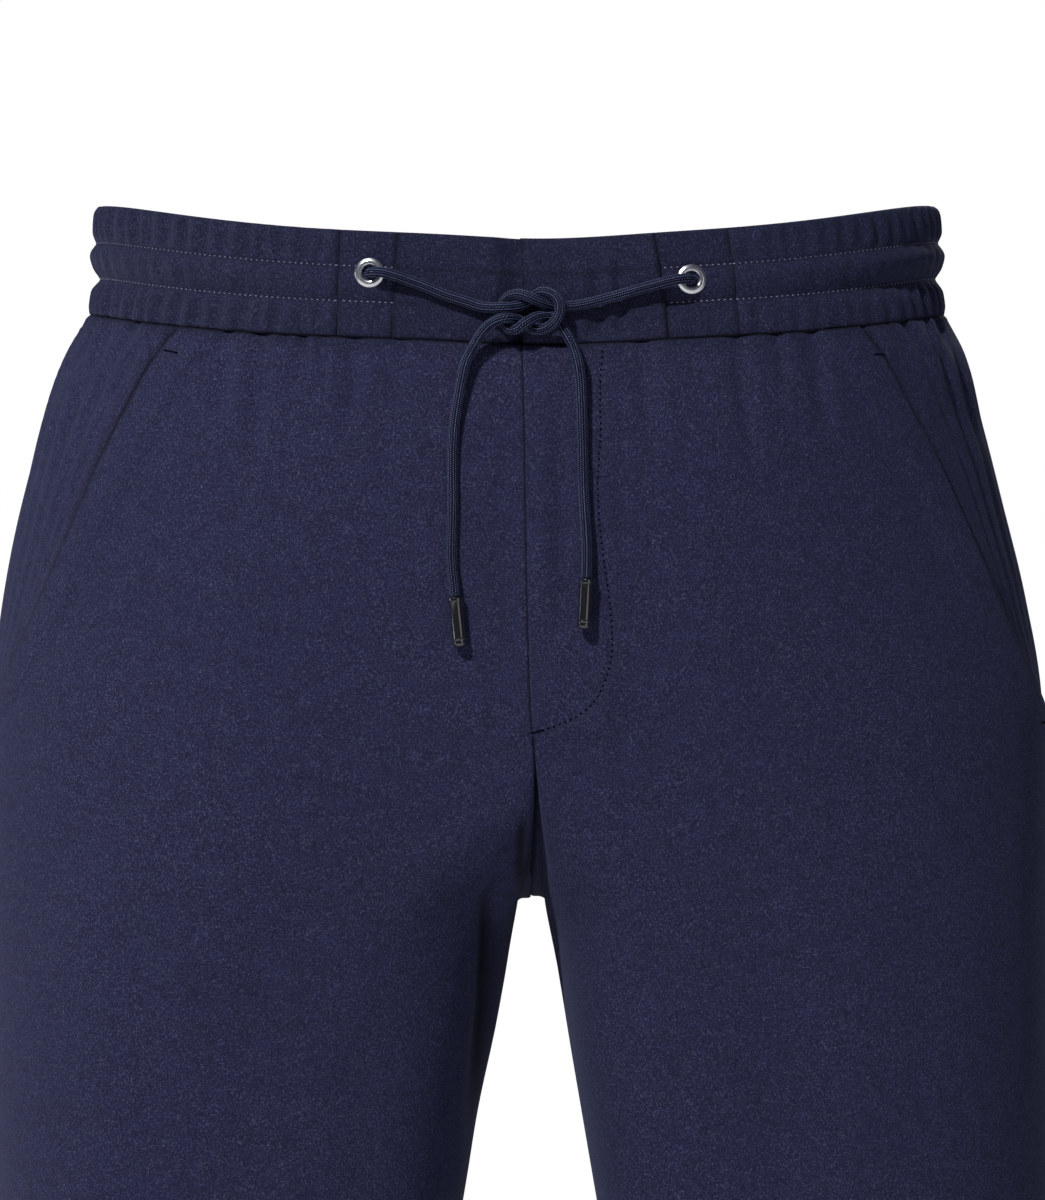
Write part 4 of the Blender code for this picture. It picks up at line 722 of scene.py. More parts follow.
def edge_shape(distance, kind):
    """Sink of the middle of the cloth and its half-thickness near one edge."""
    round_share = np.clip(distance / EDGE_ROUND, 0.0, 1.0)
    half = 0.5 * CLOTH * np.sqrt(1.0 - 0.93 * (1.0 - round_share) ** 2)
    if kind == "seam":
        return SEAM_SINK * (1.0 - ease(distance / SEAM_WIDTH)), half
    if kind == "soft seam":
        return SOFT_SINK * (1.0 - ease(distance / SOFT_WIDTH)), half
    return np.zeros_like(distance), half


def wall(points, normals, raised, edges):
    """Outer and inner grids of a cloth wall; edges lists (distance, kind)."""
    sink = np.zeros(points.shape[:2])
    half = np.full(points.shape[:2], 0.5 * CLOTH)
    for distance, kind in edges:
        edge_sink, edge_half = edge_shape(distance, kind)
        sink = np.maximum(sink, edge_sink)
        half = np.minimum(half, edge_half)
    middle = raised - 0.5 * CLOTH - sink
    outer = points + normals * (middle + half)[..., None]
    inner = points + normals * (middle - half)[..., None]
    return outer, inner


# ------------------------------------------------------------------ raised and sunk forms
def along_route(route, x, z):
    """Signed distance from a route of points, and the share along it."""
    route = np.asarray(route, float)
    steps = np.diff(route, axis=0)
    lengths = np.hypot(*steps.T)
    total = lengths.sum()
    best = np.full(x.shape, np.inf)
    signed = np.zeros(x.shape)
    share = np.zeros(x.shape)
    done = 0.0
    for start, step, length in zip(route[:-1], steps, lengths):
        dx, dz = x - start[0], z - start[1]
        t = np.clip((dx * step[0] + dz * step[1]) / length ** 2, 0.0, 1.0)
        away = np.hypot(dx - t * step[0], dz - t * step[1])
        near = away < best
        cross = step[0] * dz - step[1] * dx
        best = np.where(near, away, best)
        signed = np.where(near, np.sign(cross) * away, signed)
        share = np.where(near, (done + t * length) / total, share)
        done += length
    return signed, share


def crease_height(crease, x, z):
    """Soft trough along a route with a lower ridge on its left side."""
    signed, share = along_route(crease.route, x, z)
    across = signed / crease.half_width
    begin, end = CREASE_BEGIN, CREASE_END
    fade = ease(share * begin.rate + begin.base) * ease((1.0 - share) * end.rate + end.base)
    trough = np.exp(-across ** 2)
    bank = np.exp(-((across - RIDGE_AWAY) / RIDGE_WIDTH) ** 2)
    return crease.depth * (trough - crease.ridge * bank) * fade


def fold_height(face, side, distance, z):
    """Sum of the solids' own folds."""
    total = np.zeros(distance.shape)
    for fold in FOLDS:
        if (fold.face, fold.side) == (face, side):
            route = ((fold.d0, fold.z0), (fold.d1, fold.z1))
            signed, _ = along_route(route, distance, z)
            total += fold.depth * np.exp(-(signed / fold.half_width) ** 2)
    return total


def crease_sum(creases, where, x, z):
    """Sum of the listed creases of one face or one kind of band piece."""
    total = np.zeros(x.shape)
    for crease in creases:
        if crease.where == where:
            total += MM * crease_height(crease, x / MM, z / MM)
    return total


def uneven_height(seed, s, z):
    """Slow unevenness of the cloth."""
    rng = random.Random(seed)
    total = np.zeros(s.shape)
    for _ in range(WAVES):
        length = rng.uniform(*WAVE_LENGTHS)
        turn = rng.uniform(0.0, math.pi)
        phase = rng.uniform(0.0, 2.0 * math.pi)
        wave = (s * math.cos(turn) + 0.55 * z * math.sin(turn)) * 2.0 * math.pi / length
        total += np.sin(wave + phase) * length / WAVE_LENGTHS[1]
    return WAVE_HEIGHT * total / math.sqrt(WAVES)


def gather_height(seed, s, z, start, end, strength):
    """Irregular vertical gathers that fade downwards from the band's seam."""
    rng = random.Random(seed)
    total = np.zeros(s.shape)
    place = start + rng.uniform(*GATHER_FIRST) * GATHER_SPACING
    while place < end:
        fall = rng.uniform(*GATHER_FALL)
        width = rng.uniform(*GATHER_HALF_WIDTH)
        lean = rng.uniform(-GATHER_LEAN, GATHER_LEAN)
        height = rng.uniform(*GATHER_HEIGHT)
        below = SEAM_REFERENCE_Z - z
        widened = width * (1.0 + GATHER_SPREAD * np.clip(below, 0.0, SPREAD_DEPTH))
        away = (s - place - lean * below) / widened
        total += height * strength * np.exp(-away ** 2) * (1.0 - ease(below / fall))
        place += GATHER_SPACING * rng.uniform(*GATHER_NEXT)
    return total


# ------------------------------------------------------------------ the panels' grids
def band_edge(edge, x, y):
    """Height of one edge of the band over a place of the waist ring."""
    x, y = np.asarray(x, float), np.asarray(y, float)
    share = np.maximum(y / float(form("front", 0.0)), 0.0)
    dip = MIDDLE_DIP * share * np.exp(-((x - MIDDLE_DIP_X) / MIDDLE_DIP_WIDTH) ** 2)
    front = edge.side - edge.front_drop * share ** edge.power - dip
    back = edge.side - edge.back_drop * (y / float(form("back", 0.0))) ** 2
    return np.where(y < 0.0, front, back)


def band_low(x, y):
    return band_edge(LOW_EDGE, x, y)


def band_edges(x, y):
    """Heights of the band's low and top edges over a place of the waist ring."""
    return band_low(x, y), band_edge(TOP_EDGE, x, y)


def fork_mean(face):
    """Mean of the two radii of the centre seam's curve under the legs."""
    return 0.5 * (RISE[face] + abs(float(form(face, FORK_Z)) - FORK_Y))


def seam_arc(face, z):
    """Even measure along the centre seam and down the inside leg seam."""
    rise = RISE[face]
    above = fork_mean(face) * np.arccos(1.0 - np.clip((z - FORK_Z) / rise, 0.0, 1.0))
    return np.where(z > FORK_Z, above + np.maximum(z - FORK_Z - rise, 0.0), z - FORK_Z)


def seam_height(face, arc):
    """Height at a measure along the centre seam."""
    mean = fork_mean(face)
    turn = np.clip(arc / mean, 0.0, 0.5 * math.pi)
    above = FORK_Z + RISE[face] * (1.0 - np.cos(turn)) + np.maximum(arc - mean * 0.5 * math.pi, 0.0)
    return np.where(arc > 0.0, above, FORK_Z + arc)


FORK_PLACE = ROWS_ABOVE_HIP + [row.inner for row in ROWS].index(FORK_Z)


def row_places():
    """Fractional rows, close together at the top edge and at the hem."""
    side_z = [LOW_EDGE.side + (HIP_Z - LOW_EDGE.side) * k / ROWS_ABOVE_HIP for k in range(ROWS_ABOVE_HIP)]
    side_z += [row.outer for row in ROWS]
    places = []
    for k, (upper, lower) in enumerate(zip(side_z[:-1], side_z[1:])):
        pitch = UPPER_PITCH if upper > PITCH_CHANGE_Z else LOWER_PITCH
        count = max(2, int(math.ceil((upper - lower) / pitch)))
        places += list(k + np.arange(count) / count)
    last = len(side_z) - 1.0
    top_step, hem_step = side_z[0] - side_z[1], side_z[-2] - side_z[-1]
    near_top = [e / top_step for e in EDGE_STEPS]
    near_hem = [last - e / hem_step for e in EDGE_STEPS]
    middle = [p for p in places if near_top[-1] + 0.05 < p < near_hem[-1] - 0.05]
    return np.array(near_top + middle + near_hem[::-1])


def row_heights(face, rows):
    """Heights of rows at the inner seam and at the side."""
    middle = form("centre", SEAM_REFERENCE_Z)
    top_inner = float(band_low(middle, form(face, SEAM_REFERENCE_Z))) + TUCK
    top_side = LOW_EDGE.side + TUCK
    share = rows / ROWS_ABOVE_HIP
    k = np.maximum(rows - ROWS_ABOVE_HIP, 0.0)
    knots = np.arange(len(ROWS))
    arcs = seam_arc(face, np.array([row.inner for row in ROWS]))
    inner = seam_height(face, smooth_curve(knots, arcs, k))
    past_fork = k + ROWS_ABOVE_HIP - FORK_PLACE
    arch = FORK_Z - ARCH_HEIGHT * (1.0 - np.cos(0.5 * math.pi * np.clip(past_fork, 0.0, 1.0)))
    inner = np.where((past_fork > 0.0) & (past_fork < 1.0), arch, inner)
    outer = smooth_curve(knots, [row.outer for row in ROWS], k)
    above = rows < ROWS_ABOVE_HIP
    inner = np.where(above, top_inner + (HIP_Z - top_inner) * share, inner)
    outer = np.where(above, top_side + (HIP_Z - top_side) * share, outer)
    return inner, outer


def across_places(start, end, pitch, line=None):
    """Places across each row, close together at both edges and at a line inside."""
    width = end - start
    count = int(math.ceil(float(np.max(width)) / pitch))
    margin = EDGE_STEPS[-1]
    first = start[:, None] + np.array(EDGE_STEPS)[None, :]
    last = end[:, None] - np.array(EDGE_STEPS[::-1])[None, :]
    shares = np.arange(1, count) / count
    middle = start[:, None] + margin + (width - 2.0 * margin)[:, None] * shares[None, :]
    if line is None:
        return np.concatenate((first, middle, last), axis=1)
    near = np.array(LINE_STEPS)[None, :] + line[:, None]
    near = np.clip(near, start[:, None] + 0.0002, end[:, None] - 0.0002)
    placed = np.sort(np.concatenate((first, middle, near, last), axis=1), axis=1)
    return placed + LEAST_STEP * np.arange(placed.shape[1])[None, :]


PanelGrid = namedtuple("PanelGrid", "points s z distance from_end rows from_top from_hem")


def laid_grid(face, side, s, rows, z_inner, z_outer, distance, end):
    """Grid of a panel on the form from its columns and the heights of its rows."""
    share = rows[:, None] / ROWS_ABOVE_HIP
    reference = surface(face, side, s, np.full(s.shape, SEAM_REFERENCE_Z))
    top = band_low(reference[..., 0], reference[..., 1]) + TUCK
    above = top + (HIP_Z - top) * share
    below = z_inner[:, None] + (z_outer - z_inner)[:, None] * ease((distance - ROW_FLAT) / ROW_BLEND)
    z = np.where(share < 1.0, above, below)
    points = surface(face, side, s, z)
    return PanelGrid(points, s, z, distance, end[:, None] - s, rows, top - z, z - HEM_Z)


def panel_grid(face, side, start_extra, end_in, rows):
    """Grid of a leg panel. start_extra reaches over the centre seam."""
    half = HALVES[face, side]
    z_inner, z_outer = row_heights(face, rows)
    seam_s = -half.inner_length(z_inner)
    start = seam_s - start_extra(z_inner)
    end = half.outer_length(z_outer) - end_in(z_outer)
    s = across_places(start, end, COLUMN_PITCH[face], seam_s if np.any(start < seam_s) else None)
    return laid_grid(face, side, s, rows, z_inner, z_outer, s - seam_s[:, None], end)


def relaxed(points, rows_near, times):
    """Evens out the grid down its rows near the fork, away from the inner seam."""
    weight = rows_near[..., None]
    for _ in range(times):
        mean = points.copy()
        mean[1:-1] = 0.25 * points[:-2] + 0.5 * points[1:-1] + 0.25 * points[2:]
        points = points + (mean - points) * weight
    return points


def fork_weight(grid):
    """1 on the inner thigh at the fork's height, 0 elsewhere and at the seam."""
    near = np.exp(-((grid.z - FORK_Z) / FORK_REACH) ** 2)
    past_seam = ease((grid.distance - FORK_START) / FORK_RAMP)
    return near * (past_seam * (1.0 - ease((grid.distance - FORK_WIDTH) / FORK_FADE)))


def seam_planes(points, face, side, grid, from_start):
    """Keeps sewn edges a small gap from the planes they share."""
    first = grid.rows <= FORK_PLACE
    if from_start:
        plane = form("centre", points[:, 0, 2]) + side * SEWN_GAP
        points[first, 0, 0] = plane[first]
    points[~first, 0, 1] += OUTWARD[face] * SEWN_GAP
    return points


def fly_lap(z):
    """Width of the lap at a height; it ends in a quarter round."""
    share = np.clip((FLY_STRAIGHT_Z - z) / (FLY_STRAIGHT_Z - FLY_END_Z), 0.0, 1.0)
    return FLY_LAP * np.sqrt(1.0 - share * share)


def oriented(points, face):
    """Outward unit normals of a panel's grid."""
    normals = grid_normals(points)
    turned_in = normals[normals.shape[0] // 6, normals.shape[1] // 2, 1] * OUTWARD[face] < 0.0
    return -normals if turned_in else normals


def seam_normals(seam, face, side, fork_row):
    """Outward directions along the inner seam, square to it in the sewn panels' plane."""
    along = np.gradient(seam, axis=0)
    plane = np.zeros(seam.shape)
    plane[:fork_row + 1, 0] = -OUTWARD[face]
    plane[fork_row + 1:, 1] = -side
    normals = unit(np.cross(along, plane))
    normals[fork_row] = (0.0, 0.0, -1.0)
    return normals


def turned_normals(grid, points, face, side, seam_share):
    """Normals of a panel that agree with its neighbours' along the sewn edges."""
    normals = oriented(points, face)
    fork_row = int(np.sum(grid.rows <= FORK_PLACE + 1e-9)) - 1
    own = ease(grid.distance / SEAM_TURN)
    own = 1.0 - (1.0 - own) * seam_share
    at_seam = seam_normals(points[:, 0], face, side, fork_row)[:, None, :]
    normals = unit(at_seam * (1.0 - own)[..., None] + normals * own[..., None])
    level = 1.0 - ease(grid.from_top / (1.4 * SEAM_TURN))
    normals[..., 2] *= 1.0 - level
    at_side = (1.0 - ease(grid.from_end / SEAM_TURN)) * ease((POCKET_END_Z - grid.z) / 0.010)
    if face == "back":
        at_side = 1.0 - ease(grid.from_end / SEAM_TURN)
    normals[..., 1] *= 1.0 - at_side
    return unit(normals)


def finish_panel(name, face, side, grid, points, raised, edges, finish, seam_share=0.0, shade=0.0):
    """Turns a panel's grid and heights into a shell."""
    normals = turned_normals(grid, points, face, side, seam_share)
    raised = raised + crease_sum(CREASES, face, points[..., 0], points[..., 2])
    raised = raised + uneven_height(name, grid.s, grid.z) * ease(grid.from_top / 0.05)
    outer, inner = wall(points, normals, raised, edges)
    uv = np.stack((grid.s, grid.z), axis=-1)
    # Painted shade under the band's seam.
    for width, darkness in TOP_SHADE_LINES:
        shade = np.maximum(shade, line_shade(grid.from_top, width, darkness))
    return shell(name, outer, inner, uv, finish, (0.0, OUTWARD[face], 0.0), shade)


def front_raise(side, grid, points):
    """How far a front panel stands out: at the pocket mouth, the lapping edge and its folds."""
    mouth_open = ease((grid.z - POCKET_END_Z) / MOUTH_FADE)
    raised = LAP_LIFT * ease((MOUTH_REACH - grid.from_end) / MOUTH_RAMP) * mouth_open
    if side > 0:
        lapping = 1.0 - below_fly(grid.z)
        raised = raised + LAP_LIFT * lapping * (1.0 - ease((grid.distance - FLY_LAP) / FLY_RAMP))
    return raised + fold_height("front", side, grid.distance, grid.z) + fly_relief(side, points)


def below_fly(z):
    """0 along the fly and 1 below its end."""
    return ease((FLY_END_Z + 0.002 - z) / 0.006)


def front_panel(side, name, finish):
    """Front panel, lapped or lapping at the fly and raised along the pocket mouth."""
    def start_extra(z):
        return fly_lap(z) if side < 0 else 0.0 * z

    def end_in(z):
        return mouth_distance(side, z)

    grid = panel_grid("front", side, start_extra, end_in, row_places())
    points = relaxed(grid.points, fork_weight(grid), FORK_PASSES)
    points = seam_planes(points, "front", side, grid, side > 0)
    sewn = grid.z < FLY_END_Z
    closed = grid.z < POCKET_END_Z
    from_start = grid.distance + start_extra(grid.z)
    sewn_start = np.where(sewn, from_start, FAR)
    edges = ((grid.from_top, "seam"), (sewn_start, "soft seam"), (np.where(sewn, FAR, from_start), "fold"),
             (np.where(closed, grid.from_end, FAR), "seam"), (np.where(closed, FAR, grid.from_end), "fold"),
             (grid.from_hem, "fold"))
    # Painted shade along the sewn centre seam, the pocket mouth and the side seam; on the right front also
    # where the left front's edge laps over it, and in the deep creases beside the fork.
    shade = darkest((sewn_start, 0.0007, 0.85), (grid.from_end, 0.0011, 0.90))
    if side < 0:
        shade = np.maximum(shade, line_shade(grid.distance, SEAM_SHADE_WIDTH, 0.9) * (grid.z > FLY_END_Z))
        shade = np.maximum(shade, deep_shade(points))
    seam_share = 1.0 if side > 0 else below_fly(grid.z)
    raised = front_raise(side, grid, points)
    return finish_panel(name, "front", side, grid, points, raised, edges, finish, seam_share, shade)


def deep_shade(points):
    """Painted shade in the deep creases beside the fork."""
    total = np.zeros(points.shape[:2])
    for route, half_width, darkness in DEEP_CREASES:
        signed, share = along_route(route, points[..., 0] / MM, points[..., 2] / MM)
        ends = ease(share * DEEP_BEGIN.rate) * ease((1.0 - share) * DEEP_END.rate + DEEP_END.base)
        total = np.maximum(total, line_shade(signed, half_width, darkness) * ends)
    return total


def fly_relief(side, points):
    """Groove along the fly's stitching and the soft fold beside the lapping edge."""
    if side < 0:
        return np.zeros(points.shape[:2])
    signed, share = along_route(FLY_STITCH, points[..., 0] / MM, points[..., 2] / MM)
    groove = -FLY_GROOVE.height * np.exp(-(signed / FLY_GROOVE.width) ** 2)
    swell = FLY_SWELL.height * np.exp(-((signed - FLY_SWELL.away) / FLY_SWELL.width) ** 2)
    return (groove + swell) * ease(share * 30.0 + 0.2)


def back_panel(side, name, finish):
    """Back panel, from the inner seam to the side seam."""
    grid = panel_grid("back", side, lambda z: 0.0 * z, lambda z: 0.0 * z, row_places())
    points = relaxed(grid.points, fork_weight(grid), FORK_PASSES)
    points = seam_planes(points, "back", side, grid, True)
    start, end = float(np.min(grid.s[0])), float(np.max(grid.s[0]))
    raised = fold_height("back", side, grid.distance, grid.z)
    raised = raised + gather_height(name, grid.s, grid.z, start, end, 1.0)
    edges = ((grid.from_top, "seam"), (grid.distance, "seam"), (grid.from_end, "seam"),
             (grid.from_hem, "fold"))
    # Painted shade along the inner seam and the side seam.
    shade = darkest((grid.distance, SEAM_SHADE_WIDTH, 0.85), (grid.from_end, SEAM_SHADE_WIDTH, 0.85))
    return finish_panel(name, "back", side, grid, points, raised, edges, finish, 1.0, shade)


def facing_folds(past_mouth, z, side):
    """Soft folds of the facing that run along the pocket mouth."""
    total = np.zeros(past_mouth.shape)
    for away, lean, width, depth in FACING_FOLDS:
        place = away + lean * (z + 0.05) + (0.002 if side > 0 else 0.0)
        total -= depth * np.exp(-((past_mouth - place) / width) ** 2)
    return total * ease((past_mouth - 0.002) / 0.006)


def facing_shade(past_mouth, from_end):
    """Painted shade of the facing: the shadow beside the pocket mouth and the shade at the side seam."""
    shade = np.where(past_mouth < MOUTH_SHADOW_WIDTH, 0.95, line_shade(past_mouth - MOUTH_SHADOW_WIDTH, 0.0013, 0.95))
    wide = darkest((np.maximum(past_mouth, 0.0), 0.0036, 0.45), (from_end, SEAM_SHADE_WIDTH, 0.85))
    return np.maximum(shade, wide)


def pocket_facing(side, name, finish):
    """Cloth behind the slanted mouth, gathered under the elastic."""
    half = HALVES["front", side]
    rows = row_places()
    _, z_outer = row_heights("front", rows)
    rows = rows[z_outer >= POCKET_END_Z]
    z_inner, z_outer = row_heights("front", rows)
    end = half.outer_length(z_outer)
    start = end - mouth_distance(side, z_outer) - FACING_UNDER
    s = across_places(start, end, COLUMN_PITCH["front"], start + FACING_UNDER)
    distance = s + half.inner_length(z_inner)[:, None]
    grid = laid_grid("front", side, s, rows, z_inner, z_outer, distance, end)
    past_mouth = distance - distance[:, :1] - FACING_UNDER
    first = float(np.min(start)) + FACING_UNDER
    raised = gather_height(name, s, grid.z, first, float(np.max(end)), FACING_FULLNESS[side])
    raised = raised * ease(past_mouth / 0.006)
    raised = raised - FACING_SINK * (1.0 - ease((past_mouth - 0.002) / 0.012))
    raised = raised + facing_folds(past_mouth, grid.z, side)
    edges = ((grid.from_top, "seam"), (s - start[:, None], "fold"), (grid.from_end, "seam"),
             (grid.z - float(np.min(grid.z)), "fold"))
    shade = facing_shade(past_mouth, grid.from_end)
    return finish_panel(name, "front", side, grid, grid.points, raised, edges, finish, 0.0, shade)


# ------------------------------------------------------------------ waistband
BAND_HEIGHTS = np.linspace(-0.036, 0.040, 153)
DEPTH_X = np.linspace(-0.110, 0.125, 471)


def front_depth_table():
    """Depth of the form's front over x at each height of the band."""
    table = []
    for z in BAND_HEIGHTS:
        centre = float(form("centre", z))
        row = []
        for side in (-1, 1):
            near = DEPTH_X[(DEPTH_X - centre) * side >= 0.0]
            curve = HALVES["front", side].whole(z, 500, 0.9)
            row.append(np.interp(np.abs(near - centre), curve[:, 0], curve[:, 1]))
        table.append(np.concatenate(row))
    return np.array(table)


DEPTHS = front_depth_table()


def table_value(table, columns, x, z):
    """Value of a table over even heights and even columns."""
    row = np.clip((z - BAND_HEIGHTS[0]) / (BAND_HEIGHTS[1] - BAND_HEIGHTS[0]), 0, len(BAND_HEIGHTS) - 1.001)
    column = np.clip((x - columns[0]) / (columns[1] - columns[0]), 0, len(columns) - 1.001)
    i, j = row.astype(int), column.astype(int)
    u, v = row - i, column - j
    return (table[i, j] * (1 - u) * (1 - v) + table[i + 1, j] * u * (1 - v)
            + table[i, j + 1] * (1 - u) * v + table[i + 1, j + 1] * u * v)


def band_seam(name, z):
    """Place of a band seam across the front at height z."""
    line = BAND_SEAMS[name]
    front = float(form("front", 0.0))
    top_z, low_z = float(band_edge(TOP_EDGE, line.top_x, front)), float(band_low(line.low_x, front))
    return line.low_x + (line.top_x - line.low_x) * (z - low_z) / (top_z - low_z)


RING_SHARES = np.linspace(0.0, 1.0, 1201)


def ring_tables():
    """x and y of the waist ring, from the right patch round the back to the left."""
    rows = []
    for z in BAND_HEIGHTS:
        centre = float(form("centre", z))
        loops = []
        for face, side, inward in (("front", -1, False), ("back", -1, True), ("back", 1, False),
                                   ("front", 1, True)):
            curve = HALVES[face, side].whole(z, 400)
            world = np.column_stack((centre + side * curve[:, 0], curve[:, 1]))
            loops.append(world[::-1] if inward else world)
        right_x = band_seam("right_outer", z) - SEWN_GAP
        left_x = band_seam("left_outer", z) + SEWN_GAP
        first = loops[0][loops[0][:, 0] < right_x]
        last = loops[3][loops[3][:, 0] > left_x]
        height = np.array(z)
        start = [[right_x, float(table_value(DEPTHS, DEPTH_X, np.array(right_x), height))]]
        end = [[left_x, float(table_value(DEPTHS, DEPTH_X, np.array(left_x), height))]]
        ring = np.vstack((start, first, loops[1][:-1], loops[2][1:], last, end))
        lengths = lengths_along(ring)
        rows.append(read_along(ring, lengths, RING_SHARES * lengths[-1]))
    return np.array(rows)[..., 0], np.array(rows)[..., 1]


RING_X, RING_Y = ring_tables()
MIDDLE_ROW = 72            # row of the tables at the origin's height
RING_LENGTH = float(np.sum(np.hypot(np.diff(RING_X[MIDDLE_ROW]), np.diff(RING_Y[MIDDLE_ROW]))))


def ring_point(share, z):
    """Points of the elastic's waist ring."""
    x = table_value(RING_X, RING_SHARES, share, z)
    y = table_value(RING_Y, RING_SHARES, share, z)
    return np.stack((x, y, z), axis=-1)


def front_point(x, z):
    """Points of the form's front at the band."""
    return np.stack((x, table_value(DEPTHS, DEPTH_X, x, z), z), axis=-1)


def level_out(before, after, here):
    """Outward level direction of the waist ring."""
    run = after - before
    way = unit(np.stack((run[..., 1], -run[..., 0], np.zeros(run.shape[:-1])), axis=-1))
    turned_in = np.sum(way * here, axis=-1, keepdims=True) < 0.0
    return np.where(turned_in, -way, way)


def ring_way(share, z, here):
    """Outward directions at points of the elastic's waist ring."""
    return level_out(ring_point(np.maximum(share - WAY_STEP, 0.0), z),
                     ring_point(np.minimum(share + WAY_STEP, 1.0), z), here)


def front_way(x, z, here):
    """Outward directions at points of the form's front."""
    return level_out(front_point(x - WAY_STEP, z), front_point(x + WAY_STEP, z), here)


def band_profile(heights, side_share):
    """Outward offset of the stitched band over its height."""
    knots = [level.height for level in BAND_LEVELS]
    flat = smooth_curve(knots, [level.flat for level in BAND_LEVELS], heights)
    side = smooth_curve(knots, [level.side for level in BAND_LEVELS], heights)
    grooves = sum(np.exp(-((heights - row) / GROOVE_WIDTH) ** 2) for row in (STITCH_LOW, STITCH_HIGH))
    return flat * (1.0 - side_share) + side * side_share - GROOVE_DEPTH * grooves


def end_fans(rows, sides, tips, flip):
    """Triangles that close a tube's first and last rows on two tip points."""
    fans = []
    for row, tip, order in ((0, tips, 1), (rows - 1, tips + 1, -1)):
        ring = row * sides + np.arange(sides)
        fan = np.stack((ring, np.roll(ring, -1), np.full(sides, tip)), axis=-1)
        fans.append(fan[:, ::-order] if flip else fan[:, ::order])
    return fans


def piece_heights():
    """Heights of a band piece's rows as shares: up its outside and down its inside."""
    even = np.linspace(0.0, 1.0, BAND_ROWS)
    near = np.array(BAND_NEAR_EDGE)
    outside = np.concatenate(([0.0], near, even[1:-1], 1.0 - near[::-1], [1.0]))
    inside = np.concatenate(([0.0], near[1:], even[3:-3:3], 1.0 - near[:0:-1], [1.0]))[::-1]
    return outside, inside


def piece_stations(count):
    """Places across a band piece as shares, with a narrow column at each end."""
    stations = np.linspace(0.0, 1.0, count)
    stations[1] = END_COLUMN * stations[1]
    stations[-2] = 1.0 - END_COLUMN * (1.0 - stations[-2])
    return stations


def flat_round(heights, rise):
    """How full a band piece is beside its low and top edges."""
    return np.minimum(edge_round(heights * rise), edge_round((1.0 - heights) * rise))


def piece_loops(place, stations, offset, sink, end_distance):
    """Closed loops round a band piece with their heights, and its mean height."""
    outside, inside = piece_heights()
    middle, _ = place(stations, np.zeros(stations.shape))
    low, top = band_edges(middle[:, 0], middle[:, 1])
    rise = top - low
    mean_rise = float(np.mean(rise))
    end_half = edge_round(end_distance(stations))

    def laid(heights):
        grid = stations[:, None] + 0.0 * heights[None, :]
        z = low[:, None] + rise[:, None] * heights[None, :]
        return (grid, z, *place(grid, z))

    grid, z, here, way = laid(outside)
    out = offset(grid, outside[None, :] + 0.0 * grid, here) - sink(here[..., 0])
    thick = (1.0 - flat_round(outside, mean_rise))[None, :] * BAND_EDGE
    thick = thick + (1.0 - end_half)[:, None] * BAND_EDGE
    outer = here + way * (out - np.minimum(thick, BAND_EDGE))[..., None]
    _, z_in, here_in, way_in = laid(inside)
    depth = BAND_DEPTH - (1.0 - flat_round(inside, mean_rise))[None, :] * 0.5 * BAND_EDGE
    depth = np.minimum(depth, BAND_DEPTH - (1.0 - end_half)[:, None] * 0.5 * BAND_EDGE)
    inner = here_in - way_in * (depth + sink(here_in[..., 0]))[..., None]
    return np.concatenate((outer, inner), axis=1), np.concatenate((z, z_in), axis=1), mean_rise


def band_piece(name, place, stations, offset, sink, finish, end_distance, end_shade):
    """Closed band piece. place(station, z) gives points and outward directions."""
    loops, up, mean_rise = piece_loops(place, stations, offset, sink, end_distance)
    total, count, _ = loops.shape
    points = loops.reshape(-1, 3)
    faces = [grid_faces(total, count, 0, False, True), *end_fans(total, count, len(points), True)]
    points = np.vstack((points, loops[0].mean(axis=0), loops[-1].mean(axis=0)))
    along = np.broadcast_to(stations[:, None], loops.shape[:2])
    uv = np.vstack((np.stack((along, up), axis=-1).reshape(-1, 2), np.zeros((2, 2))))
    outside, inside = piece_heights()
    shade = band_shade(outside, stations, mean_rise, end_distance, end_shade)
    shade = np.concatenate((shade, np.zeros((total, len(inside)))), axis=1)
    return new_object(name, points, chain(*faces), finish, uv, np.append(shade.ravel(), (0.0, 0.0)))


def band_shade(heights, stations, rise, end_distance, end_shade):
    """Painted shade of a band piece along its low seam, its ends and its stitch rows."""
    low = line_shade(heights * rise, 0.0007, 0.9)[None, :]
    ends = line_shade(end_distance(stations), 0.0007, end_shade)[:, None]
    rows = sum(line_shade((heights - row) * rise, 0.0009, 0.30) for row in (STITCH_LOW, STITCH_HIGH))
    return np.maximum(np.maximum(low, ends), rows[None, :])


def edge_round(distance):
    """0 at a rounded edge and 1 away from it."""
    share = np.clip(distance / BAND_EDGE, 0.0, 1.0)
    return np.sqrt(1.0 - 0.9 * (1.0 - share) ** 2)


def gather_curve():
    """Places and heights of the elastic's gathers, as the solid has them."""
    rng = random.Random(GATHER_SEED)
    stations, heights = [0.0], [0.0]
    for _ in range(GATHERS):
        width = 1.0 + rng.uniform(-0.28, 0.28)
        stations.append(stations[-1] + 0.5 * width)
        heights.append(rng.uniform(0.55, 1.0))
        stations.append(stations[-1] + 0.5 * width)
        heights.append(-rng.uniform(0.35, 0.9))
    heights[-1] = 0.0
    return np.array(stations) / stations[-1], np.array(heights)


def fine_gathers(seed):
    """A second, finer row of gathers for one channel of the band."""
    rng = random.Random(seed)
    places = [0.0]
    heights = [0.0]
    while places[-1] < 1.0:
        places.append(places[-1] + rng.uniform(0.0022, 0.0062))
        heights.append(rng.uniform(-0.55, 0.55))
    return np.array(places), np.array(heights)


GATHER_PLACES, GATHER_VALUES = gather_curve()
# Seed and strength of the finer gathers in each channel between the stitch rows.
CHANNELS = {"low": (11, 0.75), "middle": (12, 0.28), "high": (13, 0.75)}
FINE_GATHERS = {name: (*fine_gathers(seed), strength) for name, (seed, strength) in CHANNELS.items()}


